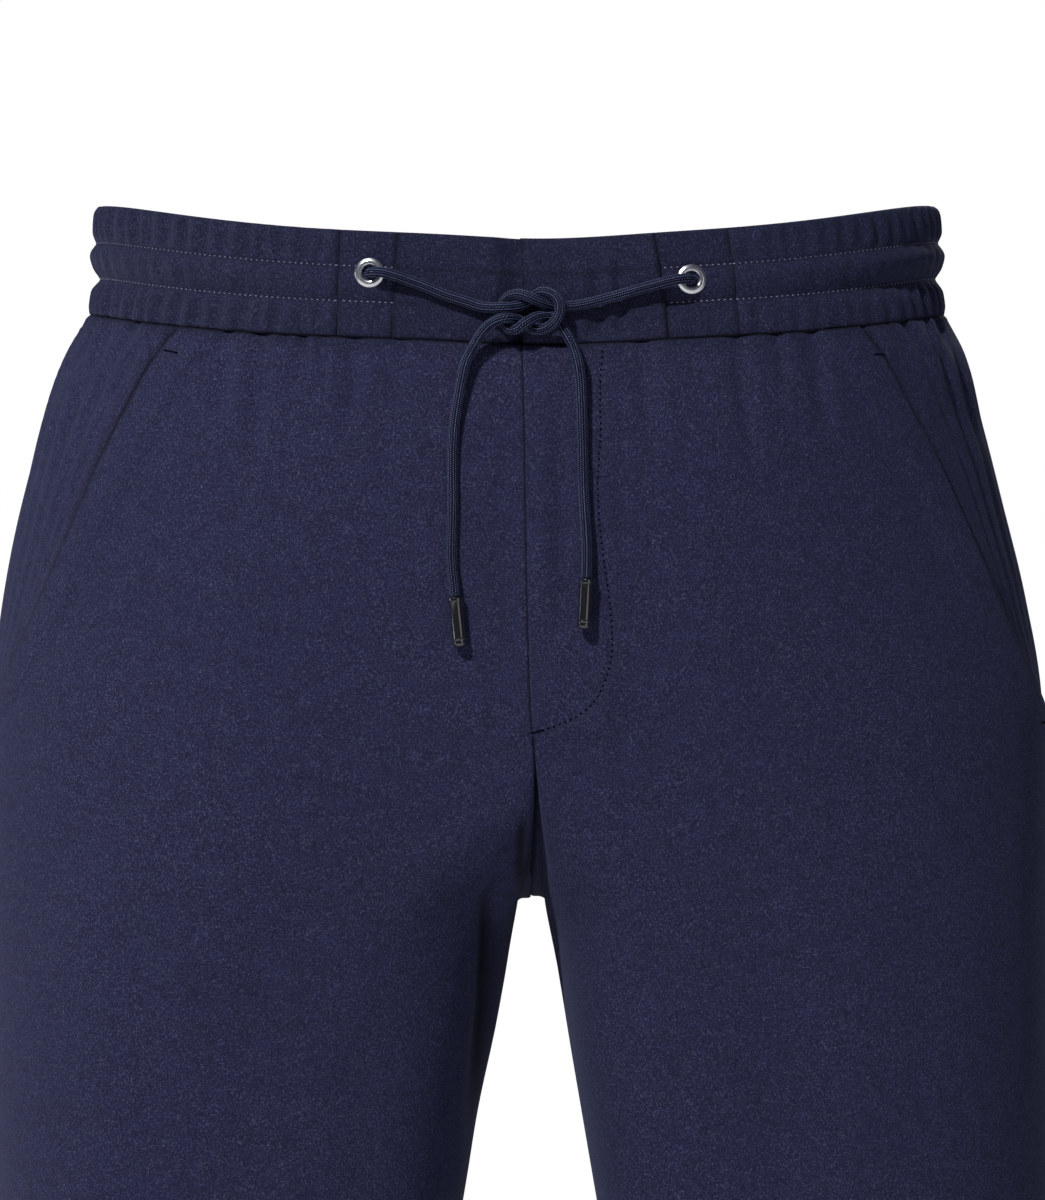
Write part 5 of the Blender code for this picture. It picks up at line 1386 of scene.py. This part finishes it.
def elastic_offset(share, heights, here):
    """Outward offset of the gathered band."""
    fullness = ease(np.minimum(share, 1.0 - share) / ELASTIC_BLEND)
    base = band_profile(heights, fullness)
    main = smooth_curve(GATHER_PLACES, GATHER_VALUES, share)
    low = ease((STITCH_LOW - heights) / 0.10)
    high = ease((heights - STITCH_HIGH) / 0.10)
    middle = ease((heights - STITCH_LOW) / 0.08) * ease((STITCH_HIGH - heights) / 0.08)
    rim = ease(heights / 0.10) * 0.5 + 0.5
    top = ease((1.0 - heights) / 0.06) * 0.4 + 0.6
    total = main * (low * rim + high * top + 0.30 * middle)
    for name, weight in (("low", low), ("middle", middle), ("high", high)):
        places, values, strength = FINE_GATHERS[name]
        total += smooth_curve(places, values, np.clip(share, 0.0, 1.0)) * weight * strength
    quiet = np.where(here[..., 0] > 0.0, 0.45 + 0.55 * ease((here[..., 1] + 0.09) / 0.08), 1.0)
    return base + GATHER_DEPTH * total * (FRONT_FULLNESS + (1.0 - FRONT_FULLNESS) * fullness) * quiet


def no_sink(x):
    return 0.0 * x


def elastic_band(finish):
    """Gathered band round the sides and back."""
    stations = piece_stations(int(RING_LENGTH / BAND_COLUMN))

    def place(share, z):
        here = ring_point(share, z)
        return here, ring_way(share, z, here)

    def end_distance(share):
        return np.minimum(share, 1.0 - share) * RING_LENGTH

    return band_piece("waistband_elastic_cloth", place, stations, elastic_offset, no_sink, finish,
                      end_distance, SOFT_END)


def flat_band(name, start, end, kind, finish, end_extra=0.0, stitched=False, sink=no_sink):
    """A flat band piece between two seams of the front."""
    width = band_seam(end, WIDTH_Z) + end_extra - band_seam(start, WIDTH_Z)
    stations = piece_stations(max(LEAST_COLUMNS, int(width / BAND_COLUMN)))

    def place(share, z):
        start_x = band_seam(start, z) + SEWN_GAP
        end_x = band_seam(end, z) - SEWN_GAP + end_extra
        x = start_x + (end_x - start_x) * share
        here = front_point(x, z)
        return here, front_way(x, z, here)

    def offset(share, heights, here):
        if stitched:
            base = band_profile(heights, 0.0 * heights)
        else:
            base = smooth_curve([h for h, _ in PLAIN_LEVELS], [o for _, o in PLAIN_LEVELS], heights)
        creased = crease_sum(BAND_CREASES, kind, here[..., 0], here[..., 2])
        return base + creased * ease(heights / CREASE_RISE)

    def end_distance(share):
        return np.minimum(share, 1.0 - share) * width

    return band_piece(name, place, stations, offset, sink, finish, end_distance,
                      SOFT_END if stitched else SEWN_END)


def underlap_sink(x):
    """How deep the right front band lies behind the lapping one."""
    start = float(band_seam("lap", 0.0)) - UNDERLAP_RAMP - 0.001
    return UNDERLAP_SINK * ease((x - start) / UNDERLAP_RAMP)


# ------------------------------------------------------------------ turned and swept parts
def turned(name, profile, sides, finish, place, axis):
    """Solid of revolution; profile is a closed loop of radius and height, or an open one
    from the axis to the axis."""
    on_axis = profile[0][0] == 0.0
    turn = np.array(Vector((0.0, 0.0, 1.0)).rotation_difference(Vector(axis)).to_matrix())
    middle = np.array(profile[1:-1] if on_axis else profile)
    angles = 2.0 * math.pi * np.arange(sides) / sides
    local = np.stack((middle[:, :1] * np.cos(angles), middle[:, :1] * np.sin(angles),
                      middle[:, 1:] + 0.0 * angles), axis=-1)
    rows = len(middle)
    points = local.reshape(-1, 3)
    faces = [grid_faces(rows, sides, 0, False, True)]
    if on_axis:
        faces += end_fans(rows, sides, len(points), True)
        points = np.vstack((points, (0.0, 0.0, profile[0][1]), (0.0, 0.0, profile[-1][1])))
    else:
        first = np.arange(sides)
        last = (rows - 1) * sides + first
        faces.append(np.stack((last, np.roll(last, -1), np.roll(first, -1), first), axis=-1))
    made = new_object(name, points @ turn.T + np.asarray(place), chain(*faces), finish)
    recalculate(made)
    return made


def recalculate(made):
    """Turns a closed mesh's faces outwards."""
    bm = bmesh.new()
    bm.from_mesh(made.data)
    bmesh.ops.recalc_face_normals(bm, faces=bm.faces)
    bm.to_mesh(made.data)
    bm.free()


def arc(centre, radius, start, end, count):
    """Points of a round stretch of a profile."""
    angles = np.radians(np.linspace(start, end, count))
    return [(centre[0] + radius * math.cos(a), centre[1] + radius * math.sin(a)) for a in angles]


def eyelet_axis(side_name):
    """Seat centre and outward direction of an eyelet."""
    place = EYELET_PLACES[side_name]
    x, z = np.array(place.x), np.array(place.z)
    here = front_point(x, z)
    way = front_way(x, z, here)
    return here + way * (CREST - SEAT_SINK), way


def eyelet(side_name, finish):
    """Polished ring with a rolled rim and a barrel."""
    seat, way = eyelet_axis(side_name)
    rim, hole, top = EYELET_RADIUS, EYELET_HOLE_RADIUS, PIECE_GAP + EYELET_HEIGHT
    lip, crown, throat = 0.00045, 0.0011, 0.0012
    profile = [(rim - 0.0006, PIECE_GAP)]
    profile += arc((rim - lip, PIECE_GAP + lip), lip, -60, 62, 7)
    profile += arc((rim - 0.0015, top - crown), crown, 58, 96, 5)
    profile += arc((hole + throat, top - throat), throat, 96, 180, 9)
    profile += [(hole, top - 0.0020), (hole, -EYELET_BARREL), (hole + 0.0003, -EYELET_BARREL - 0.0001),
                (hole + 0.0004, -EYELET_BARREL + 0.0003), (hole + 0.0004, PIECE_GAP)]
    made = turned("eyelet_" + side_name + "_ring", profile, EYELET_SIDES, finish, seat, way)
    dress(made, "eyelet_" + side_name)
    return seat


def cloth_depth(x, z):
    """Depth of the cloth's face that a cord lies on, as the solids have it."""
    low = float(band_low(x, form("front", 0.0)))
    on_band = float(ease((z - low) / BAND_STEP_RAMP + 0.5))
    centre = float(form("centre", z))
    lapped = CAD_WALL + CAD_CLEAR if centre < x < centre + FLY_LAP + LAP_RAMP else 0.0
    side = 1 if x >= centre else -1
    curve = HALVES["front", side].whole(z, 700)
    depth = float(np.interp(abs(x - centre), curve[:, 0], curve[:, 1]))
    return depth - max(CREST * on_band, lapped * (1.0 - on_band))


def smooth_route(points):
    """Even smooth curve through a route's own points, with its lengths."""
    points = np.asarray(points, float)
    steps = np.linalg.norm(np.diff(points, axis=0), axis=1)
    knots = np.concatenate(([0.0], np.cumsum(np.sqrt(steps))))
    tangents = np.empty_like(points)
    tangents[0] = (points[1] - points[0]) / (knots[1] - knots[0])
    tangents[-1] = (points[-1] - points[-2]) / (knots[-1] - knots[-2])
    tangents[1:-1] = (points[2:] - points[:-2]) / (knots[2:] - knots[:-2])[:, None]
    fine = np.linspace(0.0, knots[-1], ROUTE_SAMPLES)
    cell = np.clip(np.searchsorted(knots, fine) - 1, 0, len(knots) - 2)
    step = (knots[cell + 1] - knots[cell])[:, None]
    curve = between(points, tangents, cell, step, (fine - knots[cell])[:, None] / step)
    return curve, lengths_along(curve)


def carried_frames(path):
    """Two cross directions along a path that do not twist."""
    ways = unit(np.gradient(path, axis=0))
    side = np.zeros_like(path)
    first = np.cross(ways[0], (0.0, 0.0, 1.0))
    side[0] = first / np.linalg.norm(first)
    for k in range(1, len(path)):
        moved = side[k - 1] - ways[k] * (side[k - 1] @ ways[k])
        side[k] = moved / np.linalg.norm(moved)
    return side, np.cross(ways, side)


def braid_relief(places, angles):
    """Height of the braid's ribs round the cord, and of its stitches along them."""
    rib = np.abs(np.cos(0.5 * CORD_RIBS * angles))[None, :]
    wale = np.floor(CORD_RIBS * angles / (2.0 * math.pi) + 0.5)
    phase = places[:, None] / CORD_STITCH + 0.5 * (wale % 2)[None, :]
    lean = STITCH_LEAN * np.sin(CORD_RIBS * angles)[None, :]
    return rib, np.cos(2.0 * math.pi * (phase + lean))


def drawstring(side_name, finish):
    """One strand of the braided cord. Returns the object, its path and its length."""
    stops = [Stop(*row) for row in CORD_ROUTES[side_name]]
    route = [(stop.x * MM, cloth_depth(stop.x * MM, stop.z * MM) - stop.height * MM, stop.z * MM)
             for stop in stops]
    curve, lengths = smooth_route(route)
    total = float(lengths[-1])
    count = int(total / CORD_STEP) + 1
    places = np.linspace(0.0, total, count)
    path = read_along(curve, lengths, places)
    side, up = carried_frames(path)
    angles = 2.0 * math.pi * np.arange(CORD_SIDES) / CORD_SIDES
    rib, stitch = braid_relief(places, angles)
    radius = 0.5 * CORD_DIAMETER - RIB_HEIGHT + RIB_HEIGHT * rib + STITCH_RELIEF * stitch * rib
    ring = side[:, None, :] * np.cos(angles)[None, :, None] + up[:, None, :] * np.sin(angles)[None, :, None]
    points = (path[:, None, :] + ring * radius[..., None]).reshape(-1, 3)
    faces = [grid_faces(count, CORD_SIDES, 0, True, True), *end_fans(count, CORD_SIDES, len(points), False)]
    points = np.vstack((points, path[:1], path[-1:]))
    made = new_object("drawstring_" + side_name + "_braid", points, chain(*faces), finish)
    tips = (0.0, 0.0)
    store_value(made.data, "along", np.append(np.repeat(places, CORD_SIDES), tips))
    store_value(made.data, "rib", np.append(np.tile(rib[0], count), tips))
    store_value(made.data, "stitch", np.append(stitch.ravel(), tips))
    dress(made, "drawstring_" + side_name)
    return made, path, total


def cord_end(side_name, cord_tip, finish):
    """Metal cord end with a flange at the top and a dimpled round tip."""
    lean = CORD_END_LEANS[side_name]
    tip_x, tip_z = cord_tip[0] + lean.x * MM, cord_tip[2] + lean.z * MM
    tip_y = cloth_depth(tip_x, tip_z) - CORD_END_RADIUS - CORD_END_REST
    axis = unit(np.array((tip_x, tip_y, tip_z)) - cord_tip)
    start = cord_tip + axis * PIECE_GAP
    edge, dome = 0.0003, 0.0016
    r, body, length = CORD_END_RADIUS, CORD_END_RADIUS - edge, CORD_END_LENGTH
    profile = [(0.0, 0.0), (r - 0.0004, 0.0)] + arc((r - edge, edge), edge, -90, 0, 5)
    profile += arc((r - edge, 0.0013), edge, 0, 80, 5) + [(body, 0.0018), (body, length - 0.0042)]
    profile += arc((body - 0.0001, length - 0.0038), edge, -70, 70, 6)
    profile += [(body - 0.0001, length - 0.0031)]
    profile += arc((body - dome, length - 0.0022), dome, 0, 78, 9)
    profile += [(0.0009, length - 0.0007), (0.0005, length - 0.0010), (0.0, length - 0.0011)]
    made = turned("cord_end_" + side_name + "_metal", profile, CORD_END_SIDES, finish, start, axis)
    return dress(made, "cord_end_" + side_name)


# ------------------------------------------------------------------ stitches
def stitch_mesh(name, rows, finish, length=STITCH_LENGTH, thread=THREAD):
    """Many short stitches in one mesh: rounded threads that dip into the cloth. Each row
    has places, directions along the thread and directions out of the cloth."""
    rings, sides = 7, 6
    stitches = zip(*(np.vstack(part) for part in zip(*rows)))
    t = np.linspace(-1.0, 1.0, rings)
    swell = np.sqrt(np.maximum(1.0 - t ** 2, 0.06))
    angles = 2.0 * math.pi * np.arange(sides) / sides
    points, faces = [], []
    for k, (place, way, out) in enumerate(stitches):
        across = np.cross(way, out)
        centre = place + np.outer(t * 0.5 * length, way) + np.outer(-0.55 * thread * t ** 2, out)
        ring = (np.cos(angles)[None, :, None] * across + np.sin(angles)[None, :, None] * out)
        block = centre[:, None, :] + ring * (0.5 * thread * swell)[:, None, None]
        start = k * rings * sides
        points.append(block.reshape(-1, 3))
        faces += [tuple(f) for f in grid_faces(rings, sides, start, True, True)]
        faces.append(tuple(start + np.arange(sides)))
        faces.append(tuple(start + (rings - 1) * sides + np.arange(sides)[::-1]))
    made = new_object(name, np.vstack(points), faces, finish)
    recalculate(made)
    return made


def evenly(path, pitch):
    """Lengths and points spaced by the pitch along a path, with directions."""
    lengths = lengths_along(path)
    at = np.arange(0.5 * pitch, lengths[-1], pitch)
    ahead = read_along(path, lengths, at + 0.2 * pitch)
    behind = read_along(path, lengths, at - 0.2 * pitch)
    return lengths, at, read_along(path, lengths, at), unit(ahead - behind)


def drop_on(trees, places):
    """Moves points onto the cloth in front of them and gives its directions."""
    on_cloth, outs = [], []
    for place in places:
        start = Vector((place[0], -0.3, place[2]))
        hits = [tree.ray_cast(start, Vector((0.0, 1.0, 0.0))) for tree in trees]
        hits = [hit for hit in hits if hit[0] is not None]
        hit = min(hits, key=lambda found: found[0].y)
        on_cloth.append(np.array(hit[0]))
        normal = np.array(hit[1])
        outs.append(normal if normal[1] < 0.0 else -normal)
    return np.array(on_cloth), np.array(outs)


def cloth_trees(pieces):
    """Search trees of cloth pieces."""
    made = []
    for piece in pieces:
        mesh = piece.data
        made.append(BVHTree.FromPolygons([v.co for v in mesh.vertices], [p.vertices for p in mesh.polygons]))
    return made


def surface_stitches(name, routes, trees, finish, pitch=STITCH_PITCH, length=STITCH_LENGTH,
                     thread=THREAD):
    """Stitches along front routes of x and z in millimetres."""
    rows = []
    for route in routes:
        path = np.array([(x * MM, 0.0, z * MM) for x, z in route])
        if len(route) > 2:
            path, _ = smooth_route(path)
        spots, normals = drop_on(trees, evenly(path, pitch)[2])
        steps = unit(np.gradient(spots, axis=0)) if len(spots) > 1 else np.array([(1.0, 0.0, 0.0)])
        rows.append((spots, steps, normals))
    return stitch_mesh(name, rows, finish, length, thread)


# ------------------------------------------------------------------ materials
class Nodes:
    """Short way to build a node material."""

    def __init__(self, name):
        self.material = bpy.data.materials.new(name)
        self.material.use_nodes = True
        self.tree = self.material.node_tree
        self.shader = self.tree.nodes["Principled BSDF"]

    def add(self, kind, values=None, **settings):
        node = self.tree.nodes.new(kind)
        for key, value in settings.items():
            setattr(node, key, value)
        for key, value in (values or {}).items():
            if isinstance(value, bpy.types.NodeSocket):
                self.tree.links.new(value, node.inputs[key])
            else:
                node.inputs[key].default_value = value
        return node

    def math(self, operation, a, b=0.0, clamp=False):
        return self.add("ShaderNodeMath", {0: a, 1: b}, operation=operation, use_clamp=clamp).outputs[0]

    def line(self, value, factor, base):
        """The value times a factor, plus a base."""
        return self.math("ADD", self.math("MULTIPLY", value, factor), base)

    def weighed(self, a, a_weight, b, b_weight):
        """Weighed sum of two values."""
        return self.math("ADD", self.math("MULTIPLY", a, a_weight), self.math("MULTIPLY", b, b_weight))

    def where(self):
        """The place on the object in metres."""
        return self.add("ShaderNodeTexCoord").outputs["Object"]

    def stored(self, name):
        """A number that the mesh stores for each of its points."""
        return self.add("ShaderNodeAttribute", attribute_name=name).outputs["Fac"]

    def noise(self, vector, scale, detail=2.0, roughness=0.6):
        values = {"Vector": vector, "Scale": scale, "Detail": detail, "Roughness": roughness}
        return self.add("ShaderNodeTexNoise", values).outputs["Fac"]

    def ramp(self, value, stops):
        node = self.add("ShaderNodeValToRGB", {"Fac": value})
        elements = node.color_ramp.elements
        while len(elements) < len(stops):
            elements.new(0.5)
        for element, (place, colour) in zip(elements, stops):
            element.position = place
            element.color = (*colour, 1.0)
        return node.outputs["Color"]

    def mix(self, share, a, b, blend="MIX"):
        node = self.add("ShaderNodeMix", data_type="RGBA", blend_type=blend)
        for key, value in (("Factor", share), ("A", a), ("B", b)):
            socket = [s for s in node.inputs if s.name == key and s.enabled][0]
            if isinstance(value, bpy.types.NodeSocket):
                self.tree.links.new(value, socket)
            elif key == "Factor":
                socket.default_value = value
            else:
                socket.default_value = (*value, 1.0)
        return [s for s in node.outputs if s.enabled][0]

    def bump(self, height, distance, strength=1.0, normal=None):
        values = {"Height": height, "Distance": distance, "Strength": strength}
        if normal is not None:
            values["Normal"] = normal
        return self.add("ShaderNodeBump", values).outputs["Normal"]

    def set(self, **values):
        for key, value in values.items():
            socket = self.shader.inputs[key.replace("_", " ")]
            if isinstance(value, bpy.types.NodeSocket):
                self.tree.links.new(value, socket)
            else:
                socket.default_value = value
        return self


def cloth_material(name, tone=1.0):
    """Heathered navy suiting: flecked yarns, fine weave and a soft nap, with painted shade along seams,
    edges and creases.
    """
    n = Nodes(name)
    where = n.where()
    yarn = n.noise(where, YARN, 3.0, 0.62)
    fleck = n.noise(where, FLECK)
    cloud = n.noise(where, CLOUD, 3.0, 0.55)
    dark, mid, light, grey = (tuple(c * tone for c in colour)
                              for colour in (NAVY_DARK, NAVY_MID, NAVY_LIGHT, NAVY_GREY))
    grain = n.ramp(yarn, ((0.30, dark), (0.52, mid), (0.74, light)))
    flecked = n.mix(n.math("MULTIPLY", fleck, 0.5), grain, grey)
    clouded = n.mix(n.math("MULTIPLY", n.math("SUBTRACT", cloud, 0.35, True), 0.7), flecked, mid)
    blotch = n.line(n.noise(where, BLOTCH, 3.0), 0.60, 0.70)
    even = n.add("ShaderNodeCombineXYZ", {0: blotch, 1: blotch, 2: blotch}).outputs[0]
    # Painted shade: the colour goes to near-black where the mesh stores painted shade.
    shaded = n.mix(n.stored("painted_shade"), n.mix(1.0, clouded, even, "MULTIPLY"), PAINTED_SHADE_COLOUR)
    place = n.add("ShaderNodeUVMap", uv_map="cloth").outputs["UV"]
    split = n.add("ShaderNodeSeparateXYZ", {0: place})
    diagonal = n.math("ADD", split.outputs[0], split.outputs[1])
    rib = n.math("SINE", n.math("MULTIPLY", diagonal, 2.0 * math.pi / RIB_PITCH))
    cross = n.math("SINE", n.math("MULTIPLY", split.outputs[1], 2.0 * math.pi / CROSS_PITCH))
    relief = n.weighed(n.weighed(rib, 0.5, cross, 0.3), 0.5, yarn, 2.2)
    soft = n.bump(n.noise(where, NAP, 3.0), 0.0006, 0.30)
    n.set(Base_Color=shaded, Roughness=n.line(fleck, 0.14, 0.76), Normal=n.bump(relief, 0.00012, 0.55, soft))
    n.set(Sheen_Weight=0.10, Sheen_Roughness=0.50, Sheen_Tint=NAP_TINT, Specular_IOR_Level=0.20)
    return n.material


def thread_material(name, colours, **finish):
    """Sewing thread with a fine twist."""
    n = Nodes(name)
    twist = n.noise(n.where(), THREAD_TWIST)
    n.set(Base_Color=n.ramp(twist, tuple(zip((0.3, 0.7), colours))), Normal=n.bump(twist, 0.0001, 0.5),
          **finish)
    return n.material


def braid_material():
    """Round braid: pale blue-grey stitches on navy, in lengthwise ribs. Raised stitches are painted pale,
    partly their own colour and partly painted highlight, and the grooves near black as painted shade.
    """
    n = Nodes("cord_braid")
    fibre = n.noise(n.where(), CORD_FIBRE)
    risen = n.math("MULTIPLY", n.math("ADD", n.stored("stitch"), 1.0), 0.5)
    crest = n.math("MULTIPLY", risen, n.stored("rib"))
    n.set(Base_Color=n.ramp(n.weighed(crest, 0.85, fibre, 0.30), BRAID_STOPS_WITH_SHADE), Roughness=0.70,
          Normal=n.bump(fibre, 0.0001, 0.4), Specular_IOR_Level=0.15)
    return n.material


def metal_material(name, colours, marks_scale, marks_share, roughness, **finish):
    """Smooth metal finish with faint handling marks."""
    n = Nodes(name)
    marks = n.noise(n.where(), marks_scale, 4.0)
    n.set(Base_Color=n.ramp(marks, tuple(zip((0.3, 0.7), colours))),
          Roughness=n.line(marks, marks_share, roughness), **finish)
    return n.material


# ------------------------------------------------------------------ scene
def area_light(lamp):
    """Round soft light that points at its target."""
    data = bpy.data.lights.new(lamp.name, "AREA")
    data.shape = "DISK"
    data.size = lamp.size
    data.energy = lamp.power
    data.color = lamp.colour
    made = bpy.data.objects.new(lamp.name, data)
    made.location = lamp.place
    made.rotation_euler = (Vector(lamp.target) - Vector(lamp.place)).to_track_quat("-Z", "Y").to_euler()
    bpy.context.scene.collection.objects.link(made)


def camera():
    """Level camera that faces the front."""
    data = bpy.data.cameras.new("camera")
    data.sensor_fit = "VERTICAL"
    data.sensor_height = SENSOR
    data.lens = SENSOR * -CAMERA_PLACE[1] / FRAME_HEIGHT
    made = bpy.data.objects.new("camera", data)
    made.location = CAMERA_PLACE
    made.rotation_euler = (0.5 * math.pi, 0.0, 0.0)
    bpy.context.scene.collection.objects.link(made)
    bpy.context.scene.camera = made


def surround():
    """White backdrop that lights the scene with a weak blue sky."""
    world = bpy.data.worlds.new("surround")
    world.use_nodes = True
    tree = world.node_tree
    lit = tree.nodes["Background"]
    lit.inputs["Color"].default_value = SKY
    lit.inputs["Strength"].default_value = SKY_STRENGTH
    seen = tree.nodes.new("ShaderNodeBackground")
    seen.inputs["Color"].default_value = (1.0, 1.0, 1.0, 1.0)
    seen.inputs["Strength"].default_value = 1.0
    path = tree.nodes.new("ShaderNodeLightPath")
    chosen = tree.nodes.new("ShaderNodeMixShader")
    tree.links.new(path.outputs["Is Camera Ray"], chosen.inputs[0])
    tree.links.new(lit.outputs[0], chosen.inputs[1])
    tree.links.new(seen.outputs[0], chosen.inputs[2])
    tree.links.new(chosen.outputs[0], tree.nodes["World Output"].inputs["Surface"])
    bpy.context.scene.world = world


def pale_floor():
    """Round pale floor just below the hems."""
    finish = Nodes("floor").set(Base_Color=FLOOR_TONE, Roughness=0.9).material
    floor_z = CAD_BOX[0][2] - FLOOR_GAP
    turns = np.linspace(0, 2 * math.pi, FLOOR_SIDES + 1)[:-1]
    ring = [(FLOOR_REACH * math.cos(a), FLOOR_REACH * math.sin(a), floor_z) for a in turns]
    mesh = bpy.data.meshes.new("floor")
    mesh.from_pydata(ring, [], [tuple(range(len(ring)))])
    mesh.materials.append(finish)
    floor = bpy.data.objects.new("floor", mesh)
    bpy.context.scene.collection.objects.link(floor)


def studio():
    """Camera, surround, lights and floor."""
    camera()
    bpy.context.scene.view_settings.view_transform = "Standard"
    surround()
    for lamp in LAMPS:
        area_light(lamp)
    pale_floor()


# ------------------------------------------------------------------ assembly
Cut = namedtuple("Cut", "width length area held")


def leg_pieces():
    """Front and back panels and pocket facings, by node."""
    leg = cloth_material("leg_cloth")
    makers = (("front_", front_panel), ("back_", back_panel), ("pocket_facing_", pocket_facing))
    panels = {}
    for side, word in ((-1, "right"), (1, "left")):
        for kind, maker in makers:
            made = maker(side, kind + word + "_cloth", leg)
            panels[kind + word] = dress(made, kind + word)
    return panels


def band_pieces():
    """The pieces of the waistband, by node."""
    # A copy of the leg cloth painted darker, as painted shade of the band.
    band = cloth_material("band_cloth", BAND_SHADE_TONE)
    pieces = {
        "waistband_elastic": elastic_band(band),
        "waistband_patch_right": flat_band("patch_right_cloth", "right_outer", "right_inner", "patch",
                                           band, stitched=True),
        "waistband_patch_left": flat_band("patch_left_cloth", "left_inner", "left_outer", "patch",
                                          band, stitched=True),
        "waistband_front_right": flat_band("band_front_right_cloth", "right_inner", "lap", "right",
                                           band, end_extra=BAND_UNDERLAP, sink=underlap_sink),
        "waistband_front_left": flat_band("band_front_left_cloth", "lap", "left_inner", "left", band),
    }
    for node, made in pieces.items():
        dress(made, node)
    return pieces


def cords():
    """Eyelets, drawstring strands and cord ends."""
    chrome = metal_material("eyelet_metal", CHROME, 420.0, 0.12, 0.22, Metallic=1.0)
    black = metal_material("cord_end_metal", BLACK_PLATE, 500.0, 0.10, 0.10, Metallic=0.0,
                           Coat_Weight=1.0, Coat_Roughness=0.05, Specular_IOR_Level=0.8)
    braid = braid_material()
    for word in ("right", "left"):
        seat = eyelet(word, chrome)
        cord, path, length = drawstring(word, braid)
        tip = cord_end(word, path[-1], black)


def build():
    """Every piece of the slacks."""
    panels = leg_pieces()
    pieces = band_pieces()
    cords()
    sewing = sew(panels, pieces)


def ring_stitches(finish):
    """Two stitch rows all round the elastic."""
    rows = []
    for height in (STITCH_LOW, STITCH_HIGH):
        share = np.linspace(0.0, 1.0, RING_SAMPLES)
        middle = ring_point(share, 0.0 * share)
        low, top = band_edges(middle[:, 0], middle[:, 1])
        z = low + (top - low) * height
        here = ring_point(share, z)
        way = ring_way(share, z, here)
        path = here + way * elastic_offset(share, height + 0.0 * share, here)[:, None]
        lengths, at, spots, steps = evenly(path, STITCH_PITCH)
        rows.append((spots, steps, unit(read_along(way, lengths, at))))
    return stitch_mesh("band_stitches", rows, finish)


def patch_row(start, end, height):
    """Ends of a stitch row of a patch, x and z in millimetres."""
    ends = []
    for name, inward in ((start, PATCH_ROW_IN), (end, -PATCH_ROW_IN)):
        x = band_seam(name, 0.0) + inward
        y = float(table_value(DEPTHS, DEPTH_X, np.array(x), np.array(0.0)))
        low, top = (float(edge) for edge in band_edges(x, y))
        ends.append((x / MM, (low + (top - low) * height) / MM))
    return tuple(ends)


def sew(panels, pieces):
    """All the sewing that shows. Returns the stitches that each node carries."""
    thread = thread_material("sewing_thread", THREAD_PALE, Roughness=0.62, Sheen_Weight=0.2)
    # Near-black thread whose darkness paints the shade of the sunk fly stitch and bar tacks.
    shade_dark_thread = thread_material("shade_dark_thread", THREAD_DARK_SHADE, Roughness=0.8, Specular_IOR_Level=0.05)
    ring = ring_stitches(thread)
    fronts = cloth_trees([panels["front_left"], panels["front_right"], panels["pocket_facing_right"],
                          panels["pocket_facing_left"]])
    fly = surface_stitches("fly_stitches", [FLY_STITCH], fronts, shade_dark_thread, FLY_PITCH,
                           FLY_LENGTH, FLY_THREAD)
    tacks = surface_stitches("bar_tacks", BAR_TACKS, fronts, shade_dark_thread, TACK_PITCH,
                             TACK_LENGTH, TACK_THREAD)
    bands = cloth_trees(list(pieces.values()))
    rows = [patch_row(start, end, height) for height in (STITCH_LOW, STITCH_HIGH)
            for start, end in (("right_outer", "right_inner"), ("left_inner", "left_outer"))]
    patches = surface_stitches("patch_stitches", rows, bands, thread)
    return {"waistband_elastic": (ring,), "front_left": (fly, tacks), "waistband_patch_left": (patches,)}


build()
studio()
